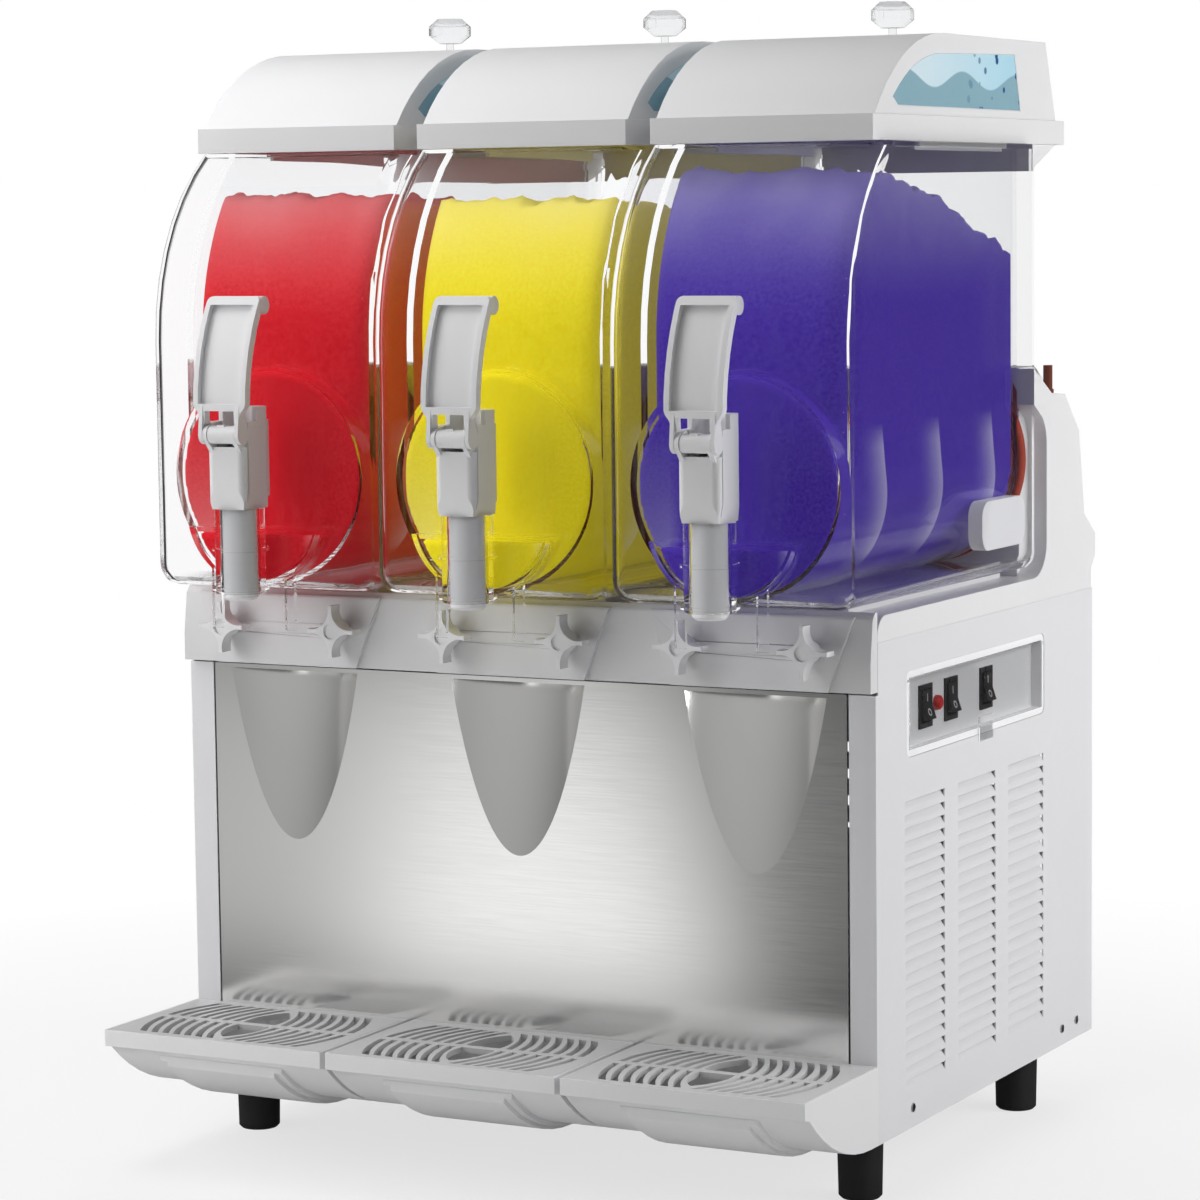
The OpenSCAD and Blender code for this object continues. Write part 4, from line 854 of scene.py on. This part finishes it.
class DISPENSER_OT_signs(bpy.types.Operator):
    """Sets a printed sign in the window on each side of the lids"""

    bl_idname = "dispenser.signs"
    bl_label = "Signs"

    recess = 2.5 * MM
    thickness = 0.7 * MM
    # Angles in degrees: the arched front's cuts, the rising top and the leaning rear
    arch_start, arch_step, arch_cuts = 92, 3.1, 13
    roof_angle, rear_angle = 91.2, 16.3

    def execute(self, context):
        colours = finishes()
        material = printed("sign_print", colours.sign_pale, colours.sign_dark)
        for index in BOWLS:
            low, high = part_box(f"lid_{index}")
            for side, name in SIDES:
                middle = (low.x + high.x) / 2
                wall = middle + side * ((high.x - low.x) / 2 - self.recess)
                piece = self.panel(wall, side, high.z)
                settle(piece, f"lid_sign_{name}_{index}")
                smooth(piece)
                place(piece, f"lid_{index}", material)
        return {"FINISHED"}

    def panel(self, wall, side, top):
        """A flat panel cut to the window: level foot, arched front, gently rising top and leaning rear."""
        foot, roof, slack = top - 52 * MM, top - 11 * MM, 0.5 * MM
        rear = LID_HIGH.y - 86 * MM
        roof_end = rear - 12 * MM
        arch_y, arch_z, radius = LID_LOW.y + 127.9 * MM, top - 156 * MM, 142 * MM
        inner, outer = sorted((wall, wall + side * self.thickness))
        piece = add_box((inner, arch_y - radius, foot + slack), (outer, rear, roof))
        reach = radius - slack
        angles = [math.radians(self.arch_start + self.arch_step * step) for step in range(self.arch_cuts)]
        cuts = [(arch_y + reach * math.cos(angle), arch_z + reach * math.sin(angle), angle)
                for angle in angles]
        cuts.append((roof_end, roof - slack, math.radians(self.roof_angle)))
        cuts.append((rear - slack, foot, math.radians(self.rear_angle)))
        bpy.ops.object.mode_set(mode="EDIT")
        for y, z, angle in cuts:
            bpy.ops.mesh.select_all(action="SELECT")
            bpy.ops.mesh.bisect(plane_co=(0, y, z), plane_no=(0, math.cos(angle), math.sin(angle)),
                                use_fill=True, clear_outer=True)
        bpy.ops.object.mode_set(mode="OBJECT")
        return piece


class DISPENSER_OT_screws(bpy.types.Operator):
    """Adds the screw heads along the foot of the side panels"""

    bl_idname = "dispenser.screws"
    bl_label = "Screws"

    # Millimetres from the panel's front edge and from its foot
    places = ((62, 14), (355, 13), (386, 14))
    radius = 3.2 * MM
    rise = 0.9 * MM
    rim = 0.9 * MM
    socket_depth = 0.5 * MM

    def execute(self, context):
        material = brushed("screw_steel", (0.55, 0.55, 0.56), 0.3)
        for side, name in SIDES:
            for number, (back, up) in enumerate(self.places, 1):
                head = self.head(side, PANEL_LOW.y + back * MM, PANEL_LOW.z + up * MM)
                settle(head, f"panel_screw_{name}_{number}")
                smooth(head)
                place(head, "cabinet", material)
        return {"FINISHED"}

    def head(self, side, y, z):
        """A low round head with a recess in its face."""
        face = PANEL_HIGH.x
        head = add_rod("X", self.radius, (side * (face + self.rise / 2), y, z), self.rise, vertices=28)
        outer = side * (face + self.rise)
        bpy.ops.object.mode_set(mode="EDIT")
        pick(head, "FACE", lambda f: abs(f.calc_center_median().x - outer) < 0.1 * MM)
        bpy.ops.mesh.inset(thickness=self.rim, depth=0)
        bpy.ops.mesh.inset(thickness=self.rim, depth=-self.socket_depth)
        bpy.ops.object.mode_set(mode="OBJECT")
        return head


class DISPENSER_OT_switch_marks(bpy.types.Operator):
    """Sets an on stroke and an off ring on each rocker"""

    bl_idname = "dispenser.switch_marks"
    bl_label = "Switch Marks"

    # Pivot inside a rocker's box, and each mark's place from it in millimetres and slope in degrees
    pivot_inset, pivot_drop = 7.95 * MM, 0.9 * MM
    stroke_place, stroke_slope = Vector((4.4, 0, 6.2)), -1.4
    ring_place, ring_slope = Vector((6.24, 0, -4.3)), -18.6
    stroke_size = (0.3 * MM, 1.1 * MM, 5.4 * MM)
    stroke_edge = 0.12 * MM
    ring_radius, ring_width, ring_rise = 2.7 * MM, 0.85 * MM, 0.32 * MM

    def execute(self, context):
        material = moulded("mark_white", (0.72, 0.72, 0.72), 0.4)
        for name in repeats("rocker"):
            low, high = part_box(name)
            pivot_z = (low.z + high.z) / 2 - self.pivot_drop
            pivot = Vector((high.x - self.pivot_inset, (low.y + high.y) / 2, pivot_z))
            stroke = self.stroke(pivot + self.stroke_place * MM, math.radians(self.stroke_slope))
            ring = self.ring(pivot + self.ring_place * MM, math.radians(self.ring_slope))
            for piece, kind in ((stroke, "on"), (ring, "off")):
                settle(piece, f"{kind}_mark_{name[-1]}")
                smooth(piece)
                place(piece, name, material)
        return {"FINISHED"}

    def stroke(self, middle, tilt):
        """A thin bar with softened edges."""
        bpy.ops.object.select_all(action="DESELECT")
        bpy.ops.mesh.primitive_cube_add(size=1, location=middle, rotation=(0, tilt, 0))
        piece = bpy.context.active_object
        piece.scale = self.stroke_size
        bpy.ops.object.transform_apply(location=True, rotation=True, scale=True)
        bpy.ops.object.mode_set(mode="EDIT")
        bpy.ops.mesh.select_all(action="SELECT")
        bpy.ops.mesh.bevel(offset=self.stroke_edge, segments=2)
        bpy.ops.object.mode_set(mode="OBJECT")
        return piece

    def ring(self, middle, tilt):
        """A thin disc opened up to a ring."""
        bpy.ops.object.select_all(action="DESELECT")
        bpy.ops.mesh.primitive_cylinder_add(
            vertices=36, radius=self.ring_radius, depth=self.ring_rise, location=middle,
            rotation=(0, tilt + math.pi / 2, 0)
        )
        piece = bpy.context.active_object
        bpy.ops.object.mode_set(mode="EDIT")
        pick(piece, "FACE", lambda f: len(f.verts) > 4)
        bpy.ops.mesh.inset(thickness=self.ring_width)
        bpy.ops.mesh.bridge_edge_loops()
        bpy.ops.mesh.select_all(action="SELECT")
        bpy.ops.mesh.normals_make_consistent(inside=False)
        bpy.ops.object.mode_set(mode="OBJECT")
        return piece


class DISPENSER_PT_sidebar(bpy.types.Panel):
    """Lists the steps that dress the dispenser"""

    bl_idname = "DISPENSER_PT_sidebar"
    bl_label = "Dispenser"
    bl_space_type = "VIEW_3D"
    bl_region_type = "UI"
    bl_category = "Dispenser"

    def draw(self, context):
        for operator in OPERATORS:
            self.layout.operator(operator.bl_idname)


OPERATORS = (
    DISPENSER_OT_stage,
    DISPENSER_OT_mouldings,
    DISPENSER_OT_metalwork,
    DISPENSER_OT_small_parts,
    DISPENSER_OT_clear_parts,
    DISPENSER_OT_drinks,
    DISPENSER_OT_signs,
    DISPENSER_OT_screws,
    DISPENSER_OT_switch_marks,
)
GROUPS = {
    "dispenser_drink": DispenserDrink,
    "dispenser_finish": DispenserFinish,
    "dispenser_studio": DispenserStudio,
}
CLASSES = (*GROUPS.values(), *OPERATORS, DISPENSER_PT_sidebar)


def register():
    """Registers the classes and hangs the settings on the scene."""
    for item in CLASSES:
        bpy.utils.register_class(item)
    for name, group in GROUPS.items():
        setattr(bpy.types.Scene, name, bpy.props.PointerProperty(type=group))


def unregister():
    """Removes the settings and the classes."""
    for name in GROUPS:
        delattr(bpy.types.Scene, name)
    for item in reversed(CLASSES):
        bpy.utils.unregister_class(item)


def main():
    """Dresses the dispenser."""
    register()
    for operator in OPERATORS:
        group, name = operator.bl_idname.split(".")
        getattr(getattr(bpy.ops, group), name)()


if __name__ == "__main__":
    main()
